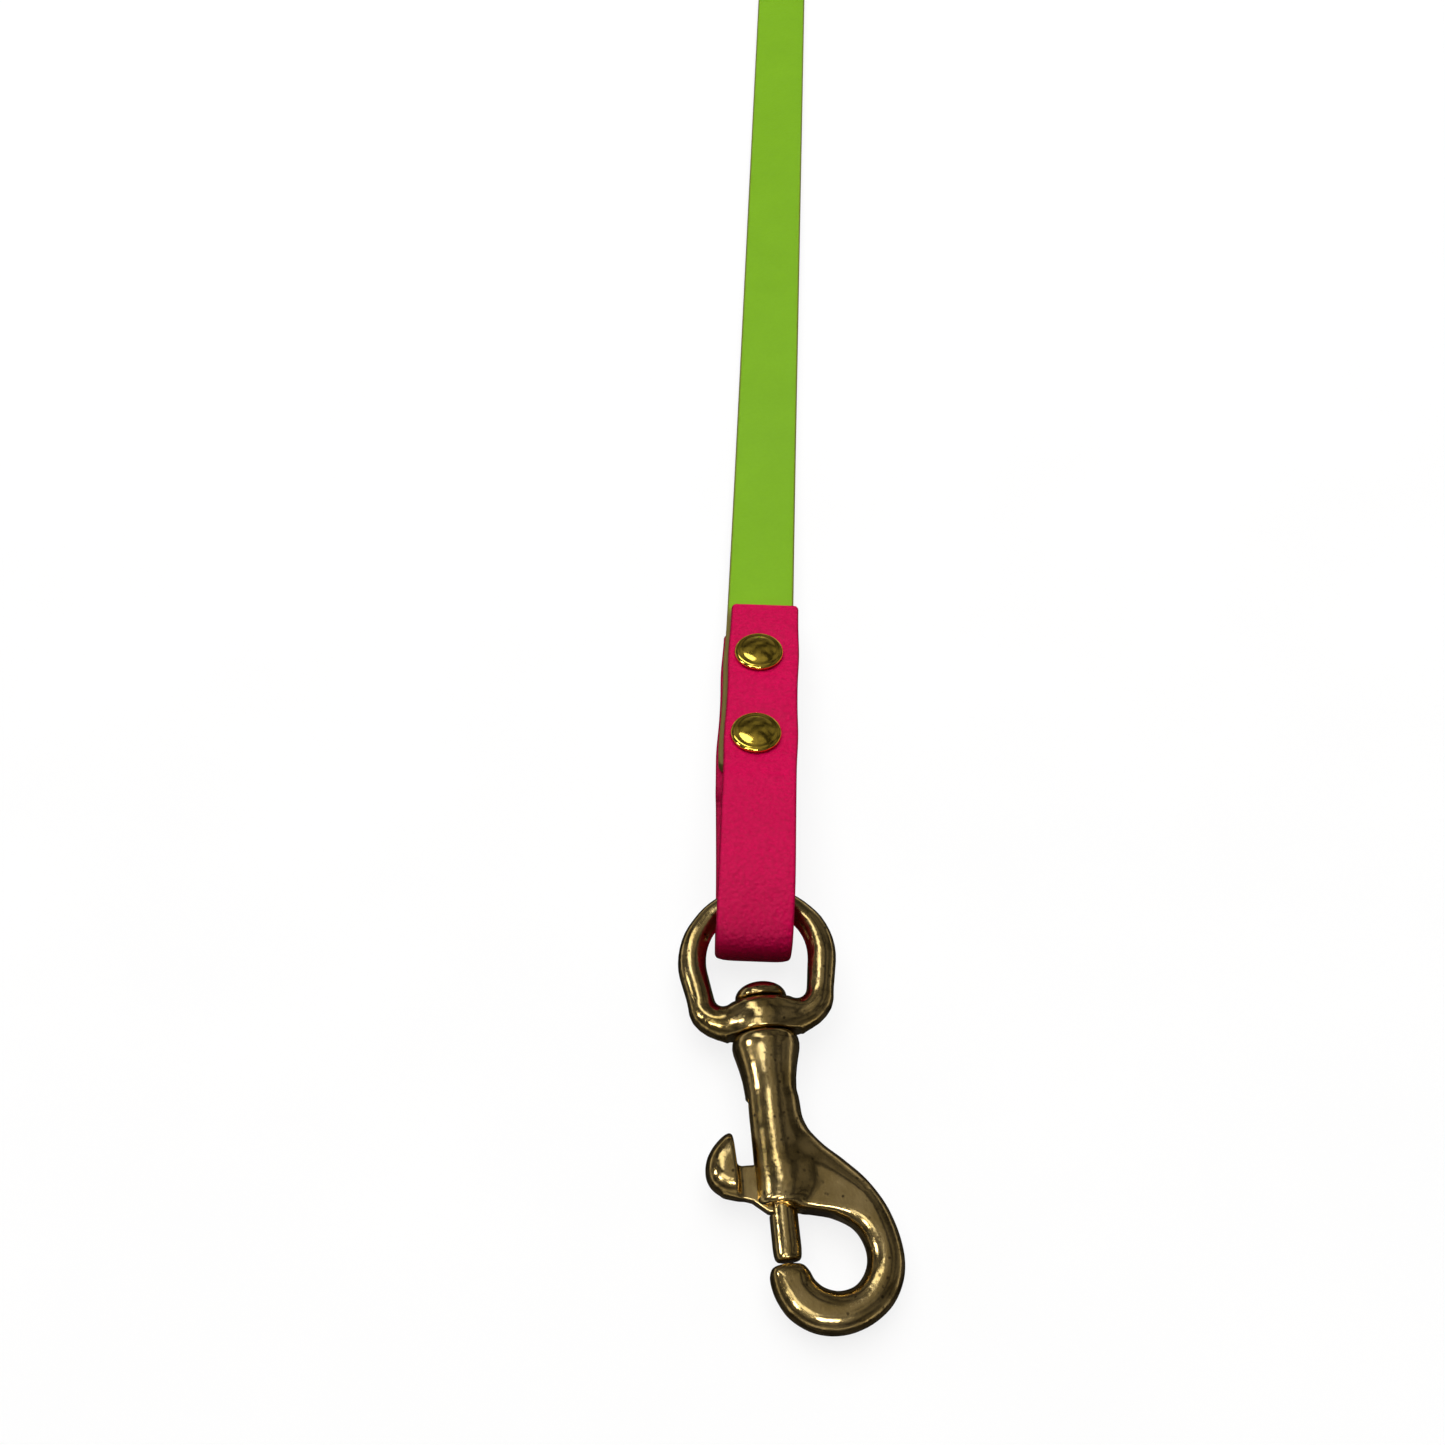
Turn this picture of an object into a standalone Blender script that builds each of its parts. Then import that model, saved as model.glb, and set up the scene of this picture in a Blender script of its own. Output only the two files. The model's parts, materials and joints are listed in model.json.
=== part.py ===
"""Training leash: a flat two-colour strap, a riveted loop at each end and a brass swivel bolt snap.

Metres, +Z up. The leash lies on a table at z = 0. The origin is on the table, under the strap's
centre line, where the strap comes down flat behind the snap-end joint. +Y runs along the strap
towards the handle. The spare length is folded into a tied hank, on edge, round the handle.
"""

from math import atan, ceil, cos, pi, radians, sin

import bmesh
import bpy
from mathutils import Matrix, Vector

MM = 0.001
NAME = "training_leash"

# Driving dimensions
STRAP_WIDTH = 13 * MM
STRAP_THICK = 2.5 * MM
LEASH_LENGTH = 1800 * MM  # end of the hook to end of the handle, pulled straight
GAP = 0.3 * MM  # between pieces that touch
CUT_PAST = 2 * MM  # how far a cutter runs past the face it opens
WELD = 0.002 * MM
LAYER = STRAP_THICK + GAP  # from one layer's middle to the next

# Snap-end joint: the loop strap's two ends hold the main strap between them
JOINT_SLOPE = 0.12  # the joint rises towards the loop
LANDING_Y = -2 * MM
JOINT_EDGE_Y = -56.2 * MM
RIVET_FROM_EDGE = 12.8 * MM
RIVET_PITCH = 19.8 * MM
TUCK = 38 * MM  # how far the main strap goes in between the layers
SKEW = 0.9 * MM  # the top layer lies this far to the right, and the bottom one half as far to the left
LOOP_END_Y = -129.7 * MM
LOOP_BEND = [  # the bend's middle line, in millimetres: across, from the loop's end, above the table
    (0.9, 29, 12.9), (0.9, 18, 13.4), (0.9, 9.3, 13.2), (0.9, 1.6, 11.2), (0.9, 0, 7.4),
    (0.8, 1.6, 3.6), (0.6, 9.1, 1.5), (0.2, 18, 1.5), (-0.3, 29, 3.7),
]
LOOP_STEP = 2.2 * MM

# Rivets
POST_R = 1.6 * MM
HOLE_R = POST_R + GAP
CAP_R = 4.6 * MM
CAP_HEIGHT = 1.1 * MM
CAP_DOME = [(0, 1), (0.45, 0.93), (0.78, 0.7), (0.97, 0.35), (1, 0.15), (0.98, 0)]  # shares of both
POST_END = 0.45  # where the post's end meets the front cap, as a share of the cap's height
STACK_HALF = LAYER + STRAP_THICK / 2  # middle of the stack to its face

# Swivel bolt snap, lengths along its axis from the gap at the bolt's tip
BAR = Vector((0, -118.9 * MM, 7.3 * MM))  # top of the eye's bow, inside the strap loop
SWING_TO_BAR = 2.4 * MM  # the eye swings about a line this far inside the bow
BAR_TO_GAP = 59.7 * MM
SNAP_YAW = radians(7.4)
SNAP_PITCH = radians(3.0)
EYE_ROLL = radians(-6)
RING_R = 10.9 * MM
WIRE_R = 2.2 * MM
CROSSBAR = (10.5 * MM, 38.0 * MM)  # the D's half width at its crossbar, and the crossbar's place
CROSSBAR_SWELL = 1.25  # the crossbar's radius as a share of the ring's
CROSSBAR_TURN_R = 4.3 * MM
HUB = (35.6 * MM, 41.2 * MM)
HUB_R = 5.2 * MM
HUB_ROUND = 1.5 * MM
BARREL_TOP = 35.3 * MM
COLLAR_R = 5.5 * MM
HOOK_END = 10.9 * MM  # from the gap to the far side of the hook
BORE_R = 2.5 * MM
BORE_FOOT = 7.0 * MM
BOLT = (0.45 * MM, 17.0 * MM)
BOLT_R = BORE_R - GAP
BOLT_TAIL_ROUND = 0.3 * MM
BOLT_TIP_ROUND = (0.6 * MM, 0.7 * MM)  # across and along
BOLT_FLAT = 0.9 * MM  # the groove's floor, from the bolt's axis
BOLT_GROOVE = (6.0 * MM, 15.2 * MM)
SLOT_TOP = 25.2 * MM
WEB_HALF = 1.3 * MM
WEB_ROUND = 0.3 * MM
PAD_HALF = 3.3 * MM
PAD_ROUND = 1.2 * MM
STUD_FOOT = 31.0 * MM
SPRING_TURNS = 7
SPRING_R = 1.75 * MM
SPRING_WIRE_R = 0.28 * MM
SPRING_STEPS = 12  # per turn
PLATE_HALF = 3.0 * MM
PLATE_ROUND = 1.5 * MM

# Hank: the strap on edge, in a long flat spiral of two turns
TWIST = (180 * MM, 262 * MM)  # where the flat strap turns onto its edge
HANK_PITCH = 4.8 * MM
TURN_R = 33 * MM
STRAIGHT_Y = 300 * MM  # where the straight runs start
TIE_ALONG = 0.45  # share of the straight run
TIE_WIDTH = 12 * MM
TIE_THICK = 0.8 * MM
TIE_ROOM = TIE_THICK + GAP
TIE_TURN = 0.5 * MM  # its cut-off corners
HANK_HEIGHT = STRAP_WIDTH + TIE_ROOM
HANK_HALF = STRAP_THICK / 2 + 0.15 * MM  # the folded runs' half thickness, with a little air

# Handle joint, inside the hank
HANDLE_EDGE = Vector((-12.4 * MM, 314 * MM, STRAP_WIDTH / 2))
HANDLE_TURN = radians(12)
HANDLE_REACH = 158 * MM  # past the main strap's end
HAND_LOOP = [  # plan of the hand loop past the joint: share of its reach, and millimetres across
    (0.12, 4.4), (0.3, 9.6), (0.52, 15.0), (0.74, 18.2), (0.9, 16.2), (0.98, 9.5), (1.0, 0.0),
    (0.98, -9.5), (0.9, -16.2), (0.74, -18.2), (0.52, -15.0), (0.3, -9.6), (0.12, -4.4),
]
HAND_STEP = 5 * MM
TAIL_LEAD = Vector((-0.4 * MM, 6 * MM, 0))  # where the strap leaves the hank's last turn
TAIL_STEP = 8 * MM

# The spiral's four half turns, each smaller by half a pitch, and the straight runs between them
HALF_TURNS = [TURN_R - k * HANK_PITCH / 2 for k in range(4)]
SNAP_END = BAR_TO_GAP + HOOK_END + abs(JOINT_EDGE_Y - TUCK - BAR.y)
RUN_IN = STRAIGHT_Y - (JOINT_EDGE_Y - TUCK)
TAIL = HANDLE_EDGE.y - STRAIGHT_Y + TUCK
STRAIGHT = (LEASH_LENGTH - SNAP_END - RUN_IN - pi * sum(HALF_TURNS) - TAIL - HANDLE_REACH) / 4


def clear_scene():
    for obj in list(bpy.data.objects):
        bpy.data.objects.remove(obj, do_unlink=True)


def new_collection(name):
    made = bpy.data.collections.new(name)
    bpy.context.scene.collection.children.link(made)
    return made


def new_material(name, colour, roughness, metallic=0.0):
    mat = bpy.data.materials.new(name)
    mat.use_nodes = True
    shader = mat.node_tree.nodes["Principled BSDF"]
    shader.inputs["Base Color"].default_value = (*colour, 1)
    shader.inputs["Roughness"].default_value = roughness
    shader.inputs["Metallic"].default_value = metallic
    mat.diffuse_color = (*colour, 1)
    return mat


def add_object(name, data, mat=None, parent=None, at=(0, 0, 0), turn=(0, 0, 0)):
    """An object in the leash's own collection."""
    obj = bpy.data.objects.new(name, data)
    bpy.data.collections[NAME].objects.link(obj)
    obj.parent = parent
    obj.location = at
    obj.rotation_euler = turn
    if mat:
        obj.data.materials.append(mat)
    return obj


def add_empty(name, at, turn=(0, 0, 0), parent=None):
    obj = add_object(name, None, parent=parent, at=at, turn=turn)
    obj.empty_display_size = 10 * MM
    return obj


def as_cutter(obj):
    """Moves an object to the cutters' collection and keeps it out of the render."""
    for owner in list(obj.users_collection):
        owner.objects.unlink(obj)
    bpy.data.collections["cutters"].objects.link(obj)
    obj.hide_render = True
    obj.display_type = "WIRE"
    return obj


def combine(obj, other, operation):
    mod = obj.modifiers.new(operation.lower() + "_" + other.name, "BOOLEAN")
    mod.operation = operation
    mod.object = other
    mod.solver = "EXACT"


def smooth_shade(obj, angle=radians(35)):
    obj.data.shade_smooth()
    obj.data.set_sharp_from_angle(angle=angle)


def through(points, step):
    """A smooth line through the points, with its own points about a step apart."""
    ends = [2 * points[0] - points[1], *points, 2 * points[-1] - points[-2]]
    line = []
    for a, b, c, d in zip(ends, ends[1:], ends[2:], ends[3:]):
        count = max(1, ceil((c - b).length / step))
        for i in range(count):
            t = i / count
            line.append(
                0.5 * (2 * b + (c - a) * t + (2 * a - 5 * b + 4 * c - d) * t**2
                       + (3 * b - a - 3 * c + d) * t**3)
            )
    return [*line, points[-1].copy()]


def arc(centre_x, centre_y, radius, start, end, count):
    """Points of an arc in plan, from one angle to another in degrees."""
    angles = [radians(start + (end - start) * i / count) for i in range(count + 1)]
    return [(centre_x + radius * cos(a), centre_y + radius * sin(a)) for a in angles]


def add_strap(name, line, across, width, thick, mat, parent=None):
    """A strap: a ribbon along the line, with its width along each point's across, and thickness."""
    mesh = bpy.data.meshes.new(name)
    work = bmesh.new()
    rows = []
    for point, side in zip(line, across):
        rows.append([work.verts.new(point + side * (k * width / 2)) for k in (-1, 1)])
    for (a, b), (c, d) in zip(rows, rows[1:]):
        work.faces.new((a, b, d, c))
    bmesh.ops.recalc_face_normals(work, faces=work.faces)
    work.to_mesh(mesh)
    work.free()
    obj = add_object(name, mesh, mat, parent)
    shell = obj.modifiers.new("thickness", "SOLIDIFY")
    shell.thickness = thick
    shell.offset = 0
    shell.use_even_offset = True
    return obj


def add_turned(name, profile, mat, sides=32, **place):
    """A turned piece round its own Z axis; the profile's (radius, height) points run top to bottom."""
    mesh = bpy.data.meshes.new(name)
    mesh.from_pydata([(r, 0, z) for r, z in profile], [(i, i + 1) for i in range(len(profile) - 1)], [])
    obj = add_object(name, mesh, mat, **place)
    screw = obj.modifiers.new("turn", "SCREW")
    screw.axis = "Z"
    screw.steps = screw.render_steps = sides
    screw.use_merge_vertices = True
    screw.merge_threshold = 5 * WELD
    return obj


def add_box_cutter(name, low, high, parent):
    bpy.ops.mesh.primitive_cube_add(size=1)
    obj = bpy.context.active_object
    obj.name = name
    low, high = Vector(low), Vector(high)
    obj.data.transform(Matrix.Translation((low + high) / 2) @ Matrix.Diagonal((*(high - low), 1)))
    obj.parent = parent
    return as_cutter(obj)


def add_rod_cutter(name, radius, low, high, parent, turn=(0, 0, 0), at=(0, 0, 0)):
    """A round cutter along its own Z axis, from low to high."""
    bpy.ops.mesh.primitive_cylinder_add(vertices=24, radius=radius, depth=high - low)
    obj = bpy.context.active_object
    obj.name = name
    obj.data.transform(Matrix.Translation((0, 0, (low + high) / 2)))
    obj.parent = parent
    obj.location = at
    obj.rotation_euler = turn
    return as_cutter(obj)


def add_plate(name, outline, half, rounding, mat, parent, smooth=True):
    """A flat plate in plan with rounded edges: a filled outline, made a welded mesh."""
    curve = bpy.data.curves.new(name, "CURVE")
    curve.dimensions = "2D"
    curve.fill_mode = "BOTH"
    curve.extrude = half - rounding
    curve.bevel_depth = rounding
    curve.bevel_resolution = 1
    curve.offset = -rounding
    curve.resolution_u = curve.render_resolution_u = 4
    spline = curve.splines.new("BEZIER" if smooth else "POLY")
    points = spline.bezier_points if smooth else spline.points
    points.add(len(outline) - 1)
    for point, (x, y) in zip(points, outline):
        point.co = (x * MM, y * MM, 0) if smooth else (x * MM, y * MM, 0, 1)
        if smooth:
            point.handle_left_type = point.handle_right_type = "AUTO"
    spline.use_cyclic_u = True
    drawn = add_object(name, curve, mat, parent)
    return curve_to_mesh(drawn)


def curve_to_mesh(drawn):
    """Replaces a curve object by a mesh object of the same name, with its caps welded."""
    name, parent = drawn.name, drawn.parent
    bpy.context.view_layer.update()
    graph = bpy.context.evaluated_depsgraph_get()
    mesh = bpy.data.meshes.new_from_object(drawn.evaluated_get(graph))
    work = bmesh.new()
    work.from_mesh(mesh)
    bmesh.ops.remove_doubles(work, verts=work.verts, dist=WELD)
    bmesh.ops.recalc_face_normals(work, faces=work.faces)
    work.to_mesh(mesh)
    work.free()
    place = drawn.matrix_local.copy()
    bpy.data.objects.remove(drawn, do_unlink=True)
    obj = add_object(name, mesh, parent=parent)
    obj.matrix_local = place
    return obj


def joint_height(y):
    """Height of the main strap's middle: flat on the table, then rising into the joint."""
    flat = STRAP_THICK / 2
    if y >= LANDING_Y:
        return flat
    ramp = LANDING_Y - JOINT_EDGE_Y
    into = min(LANDING_Y - y, ramp)
    return flat + JOINT_SLOPE * into**2 / (2 * ramp) + JOINT_SLOPE * max(0.0, JOINT_EDGE_Y - y)


def joint_point(y, layer=0.0):
    """A point of the joint, at a height above or below its middle, square to its slope."""
    lean = atan(JOINT_SLOPE)
    aside = SKEW * layer / LAYER * (1 if layer > 0 else 0.5)
    return Vector((aside, y + layer * sin(lean), joint_height(y) + layer * cos(lean)))


def add_rivet(name, mat, at, turn, parent=None):
    """A double-cap rivet through the three layers: a post with the back cap, and the front cap."""
    seat = add_empty(name + "_axis", at, turn, parent)
    face = STACK_HALF + GAP
    dome = [(CAP_R * across, face + CAP_HEIGHT * up) for across, up in CAP_DOME]
    post_top = face + POST_END * CAP_HEIGHT
    cap = [*dome, (HOLE_R, face), (HOLE_R, post_top + GAP / 2), (0, post_top + GAP / 2)]
    back = [(r, -z) for r, z in reversed(dome)]
    post = [(0, post_top - GAP / 2), (POST_R, post_top - GAP / 2), (POST_R, -face), *back]
    for part, profile in (("cap", cap), ("post", post)):
        made = add_turned(f"{name}_{part}", profile, mat, sides=24, parent=seat)
        smooth_shade(made)
    past = STACK_HALF + CUT_PAST
    return add_rod_cutter(name + "_hole", HOLE_R, -past, past, seat)


def build_main_strap(mat):
    """The main strap, from its tucked end to the hank, turning onto its edge on the way."""
    start = JOINT_EDGE_Y - TUCK
    end = STRAIGHT_Y - HALF_TURNS[1] - GAP
    stops = [start, JOINT_EDGE_Y, LANDING_Y, TWIST[0], end]
    steps = [12 * MM, 7 * MM, 60 * MM, 5 * MM]  # finer where the strap bends or turns
    line, across = [], []
    for low, high, step in zip(stops, stops[1:], steps):
        count = ceil((high - low) / step)
        for i in range(count + (high == end)):
            y = low + (high - low) * i / count
            share = min(1.0, max(0.0, (y - TWIST[0]) / (TWIST[1] - TWIST[0])))
            turn = pi / 2 * share**2 * (3 - 2 * share)
            rise = sin(turn) * STRAP_WIDTH / 2 + cos(turn) * STRAP_THICK / 2 - STRAP_THICK / 2
            line.append(Vector((0, y, joint_height(y) + rise)))
            across.append(Vector((cos(turn), 0, sin(turn))))
    return add_strap("main_strap", line, across, STRAP_WIDTH, STRAP_THICK, mat)


def build_loop_strap(mat):
    """The snap-end loop: two straight ends on the joint, and a bend that hangs round the eye's bar."""
    tucked = JOINT_EDGE_Y - TUCK
    top = [joint_point(y, LAYER) for y in (JOINT_EDGE_Y, (JOINT_EDGE_Y + tucked) / 2, tucked)]
    bottom = [joint_point(y, -LAYER) for y in (tucked, (JOINT_EDGE_Y + tucked) / 2, JOINT_EDGE_Y)]
    end = LOOP_END_Y + STRAP_THICK / 2
    bend = [Vector((x * MM, end + y * MM, z * MM)) for x, y, z in LOOP_BEND]
    line = through([top[-1], *bend, bottom[0]], LOOP_STEP)
    line = [*top[:-1], *line, *bottom[1:]]
    across = [Vector((1, 0, 0))] * len(line)
    return add_strap("loop_strap", line, across, STRAP_WIDTH, STRAP_THICK, mat)


def build_snap_joint(brass, main_strap, loop_strap):
    """The joint's two rivets, and their holes through all three layers."""
    for number in (1, 2):
        y = JOINT_EDGE_Y - RIVET_FROM_EDGE - (number - 1) * RIVET_PITCH
        hole = add_rivet(f"loop_rivet_{number}", brass, joint_point(y), (-atan(JOINT_SLOPE), 0, 0))
        combine(main_strap, hole, "DIFFERENCE")
        combine(loop_strap, hole, "DIFFERENCE")


def build_eye(brass, frame):
    """The swivel eye: a D of round bar with a bored hub on its crossbar, in the snap's own lengths."""
    centre_y = BAR_TO_GAP - RING_R
    turn_x, turn_y = CROSSBAR[0] - CROSSBAR_TURN_R, CROSSBAR[1] + CROSSBAR_TURN_R
    bow = arc(0, centre_y, RING_R, 0, 180, 24)
    crossbar = arc(-turn_x, turn_y, CROSSBAR_TURN_R, 200, 270, 5)
    crossbar += arc(turn_x, turn_y, CROSSBAR_TURN_R, 270, 340, 5)
    curve = bpy.data.curves.new("swivel_eye", "CURVE")
    curve.dimensions = "3D"
    curve.bevel_depth = WIRE_R
    curve.bevel_resolution = 4
    spline = curve.splines.new("POLY")
    spline.points.add(len(bow) + len(crossbar) - 1)
    for point, (x, y) in zip(spline.points, bow + crossbar):
        point.co = (x, y, 0, 1)
        point.radius = CROSSBAR_SWELL if (x, y) in crossbar else 1
    spline.use_cyclic_u = True
    eye = curve_to_mesh(add_object("swivel_eye", curve, brass, frame))
    low, high = HUB
    far = HUB_ROUND
    near = 0.3 * far  # a quarter circle's middle is this far inside its corner
    hub = [(0, high), (HUB_R - far, high), (HUB_R - near, high - near), (HUB_R, high - far),
           (HUB_R, low + far), (HUB_R - near, low + near), (HUB_R - far, low), (0, low)]
    along = (-pi / 2, 0, 0)
    boss = as_cutter(add_turned("hub_boss", hub, None, parent=frame, turn=along))
    bore = add_rod_cutter("hub_bore", BORE_R, low - CUT_PAST, high + CUT_PAST, frame, along)
    seat = add_rod_cutter("collar_seat", COLLAR_R + 2 * GAP, low - 2 * CUT_PAST, low, frame, along)
    combine(eye, boss, "UNION")
    combine(eye, bore, "DIFFERENCE")
    combine(eye, seat, "DIFFERENCE")
    smooth_shade(eye)


BARREL_PROFILE = [  # radius, then length from the gap, in millimetres
    (0, 35.3), (4.6, 35.3), (5.15, 35.0), (5.4, 34.5), (5.5, 33.7), (5.4, 32.8), (5.05, 31.5),
    (4.7, 30.1), (4.35, 28.2), (4.15, 26.0), (4.15, 9.3), (3.7, 8.6), (0, 8.6),
]
HOOK_OUTLINE = [  # plan of the blade and hook, in millimetres from the gap, clockwise from the barrel
    (0, 25.5), (3.6, 25.4), (4.6, 21.6), (7.2, 17.8), (10.4, 14.5), (13.6, 11.0), (16.1, 6.6),
    (17.4, 1.5), (17.1, -3.1), (15.0, -7.0), (11.4, -9.7), (7.0, -10.8), (2.8, -10.2), (-0.6, -7.9),
    (-2.4, -4.8), (-2.9, -2.2), (-2.0, -0.7), (-0.3, -0.25), (1.6, -0.8), (2.7, -2.4), (4.4, -4.3),
    (7.0, -5.1), (9.8, -4.3), (11.5, -1.8), (11.7, 1.2), (10.4, 4.2), (7.6, 6.3), (4.6, 7.2),
    (2.6, 7.6), (0, 9.4),
]


def build_snap_body(brass, frame):
    """Barrel and collar turned in one, the blade and hook cast on, a bore and a slot for the bolt."""
    along = (-pi / 2, 0, 0)
    profile = [(r * MM, y * MM) for r, y in BARREL_PROFILE]
    body = add_turned("snap_body", profile, brass, parent=frame, turn=along)
    hook = as_cutter(add_plate("hook_plate", HOOK_OUTLINE, PLATE_HALF, PLATE_ROUND, None, frame))
    bore = add_rod_cutter("barrel_bore", BORE_R, BORE_FOOT, BARREL_TOP + CUT_PAST, frame, along)
    outside, slot_half = -COLLAR_R - CUT_PAST, WEB_HALF + GAP
    slot = add_box_cutter("barrel_slot", (outside, BORE_FOOT, -slot_half), (0, SLOT_TOP, slot_half), frame)
    combine(body, hook, "UNION")
    combine(body, bore, "DIFFERENCE")
    combine(body, slot, "DIFFERENCE")
    smooth_shade(body)


STUD_DOME = [(0, 2.9), (1.7, 2.65), (3.1, 1.9), (4.0, 0.9), (4.25, 0.2), (4.1, 0)]  # in millimetres


def build_stud(brass, frame):
    """The swivel stud: a domed head inside the eye, and a shank down into the barrel."""
    head = HUB[1] + GAP
    dome = [(r * MM, head + rise * MM) for r, rise in STUD_DOME]
    profile = [*dome, (BOLT_R, head), (BOLT_R, STUD_FOOT), (0, STUD_FOOT)]
    stud = add_turned("swivel_stud", profile, brass, parent=frame, turn=(-pi / 2, 0, 0))
    smooth_shade(stud)


def build_bolt(brass, frame):
    """The spring bolt, with a flat groove on its side for the thumb lever's foot."""
    low, high = BOLT
    tail, (tip_across, tip_along) = BOLT_TAIL_ROUND, BOLT_TIP_ROUND
    profile = [(0, high), (BOLT_R - tail, high), (BOLT_R, high - tail), (BOLT_R, low + tip_along),
               (BOLT_R - tip_across, low), (0, low)]
    bolt = add_turned("bolt", profile, brass, sides=24, parent=frame, turn=(-pi / 2, 0, 0))
    half = WEB_HALF + GAP
    outside, (foot, top) = -BOLT_R - CUT_PAST, BOLT_GROOVE
    groove = add_box_cutter("bolt_groove", (outside, foot, -half), (-BOLT_FLAT, top, half), frame)
    combine(bolt, groove, "DIFFERENCE")
    smooth_shade(bolt)


# plans of the thumb pad and its web, in millimetres from the gap
PAD_OUTLINE = [(-6.8, 19.5), (-8.9, 18.3), (-10.7, 15.9), (-11.2, 13.1), (-10.2, 10.7), (-8.2, 9.4),
               (-6.6, 9.6), (-6.4, 12.3), (-6.5, 16.3)]
WEB_OUTLINE = [(-1.2, 14.9), (-7.8, 14.9), (-8.8, 10.2), (-4.4, 9.0), (-2.6, 7.3), (-1.2, 7.3)]


def build_thumb_lever(brass, frame):
    """The thumb pad, and the web that joins it to the bolt through the barrel's slot."""
    pad = add_plate("thumb_lever", PAD_OUTLINE, PAD_HALF, PAD_ROUND, brass, frame)
    web = as_cutter(add_plate("lever_web", WEB_OUTLINE, WEB_HALF, WEB_ROUND, None, frame, smooth=False))
    combine(pad, web, "UNION")
    smooth_shade(pad)


def build_spring(steel, frame):
    """The return spring, between the bolt's tail and the stud's foot."""
    low, high = BOLT[1] + GAP + SPRING_WIRE_R, STUD_FOOT - GAP - SPRING_WIRE_R
    count = SPRING_STEPS * SPRING_TURNS
    curve = bpy.data.curves.new("return_spring", "CURVE")
    curve.dimensions = "3D"
    curve.bevel_depth = SPRING_WIRE_R
    curve.bevel_resolution = 1
    curve.use_fill_caps = True
    spline = curve.splines.new("POLY")
    spline.points.add(count)
    for i, point in enumerate(spline.points):
        angle = 2 * pi * i / SPRING_STEPS
        point.co = (SPRING_R * cos(angle), low + (high - low) * i / count, SPRING_R * sin(angle), 1)
    add_object("return_spring", curve, steel, frame)


def hank_outlines():
    """Outer and inner plan outlines of the hank, round the folded runs, and its entry for the strap."""
    half = HANK_HALF
    first, second, third, fourth = HALF_TURNS
    far_x, near_x = -first, -first - HANK_PITCH / 2
    top_y = STRAIGHT_Y + STRAIGHT
    outer = arc(far_x, top_y, first + half, 0, 180, 24)
    outer += arc(near_x, STRAIGHT_Y, second + half, 180, 315, 18)
    outer += [(-half, STRAIGHT_Y - second), (half, STRAIGHT_Y - second)]
    inner = arc(far_x, top_y, third - half, 0, 180, 24)
    inner += arc(near_x, STRAIGHT_Y, fourth - half, 180, 360, 24)
    inner += [(far_x + third - half, STRAIGHT_Y)]
    return outer, inner


def build_hank(lime):
    """One closed ring of the hank's outer shape, with room under one side for the tie."""
    curve = bpy.data.curves.new("hank", "CURVE")
    curve.dimensions = "2D"
    curve.fill_mode = "BOTH"
    curve.extrude = HANK_HEIGHT / 2
    for outline in hank_outlines():
        spline = curve.splines.new("POLY")
        spline.points.add(len(outline) - 1)
        for point, (x, y) in zip(spline.points, outline):
            point.co = (x, y, 0, 1)
        spline.use_cyclic_u = True
    drawn = add_object("hank", curve, lime, at=(0, 0, HANK_HEIGHT / 2))
    hank = curve_to_mesh(drawn)
    middle = STRAIGHT_Y + TIE_ALONG * STRAIGHT
    reach = TIE_WIDTH / 2 + GAP
    outside = -2 * TURN_R - HANK_HALF - CUT_PAST
    inside = -2 * TURN_R + HANK_PITCH + HANK_HALF + CUT_PAST
    low, high = (outside, middle - reach, -CUT_PAST), (inside, middle + reach, TIE_ROOM + GAP)
    room = add_box_cutter("tie_room", low, high, None)
    combine(hank, room, "DIFFERENCE")


def build_tie(black):
    """The tie: a thin band round the hank's left runs, its end lapped over its start on top."""
    y = STRAIGHT_Y + TIE_ALONG * STRAIGHT
    slack = GAP + TIE_THICK / 2
    left = -2 * TURN_R - HANK_HALF - slack
    right = -2 * TURN_R + HANK_PITCH + HANK_HALF + slack
    low, high = TIE_THICK / 2, HANK_HEIGHT + slack
    lap = high + TIE_THICK + GAP
    turn = TIE_TURN
    route = [(left + 2 * turn, high), (right - turn, high), (right, high - turn), (right, low + turn),
             (right - turn, low), (left + turn, low), (left, low + turn), (left, lap - turn),
             (left + turn, lap), (right - 2 * turn, lap)]
    line = [Vector((x, y, z)) for x, z in route]
    add_strap("hank_tie", line, [Vector((0, 1, 0))] * len(line), TIE_WIDTH, TIE_THICK, black)


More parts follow.
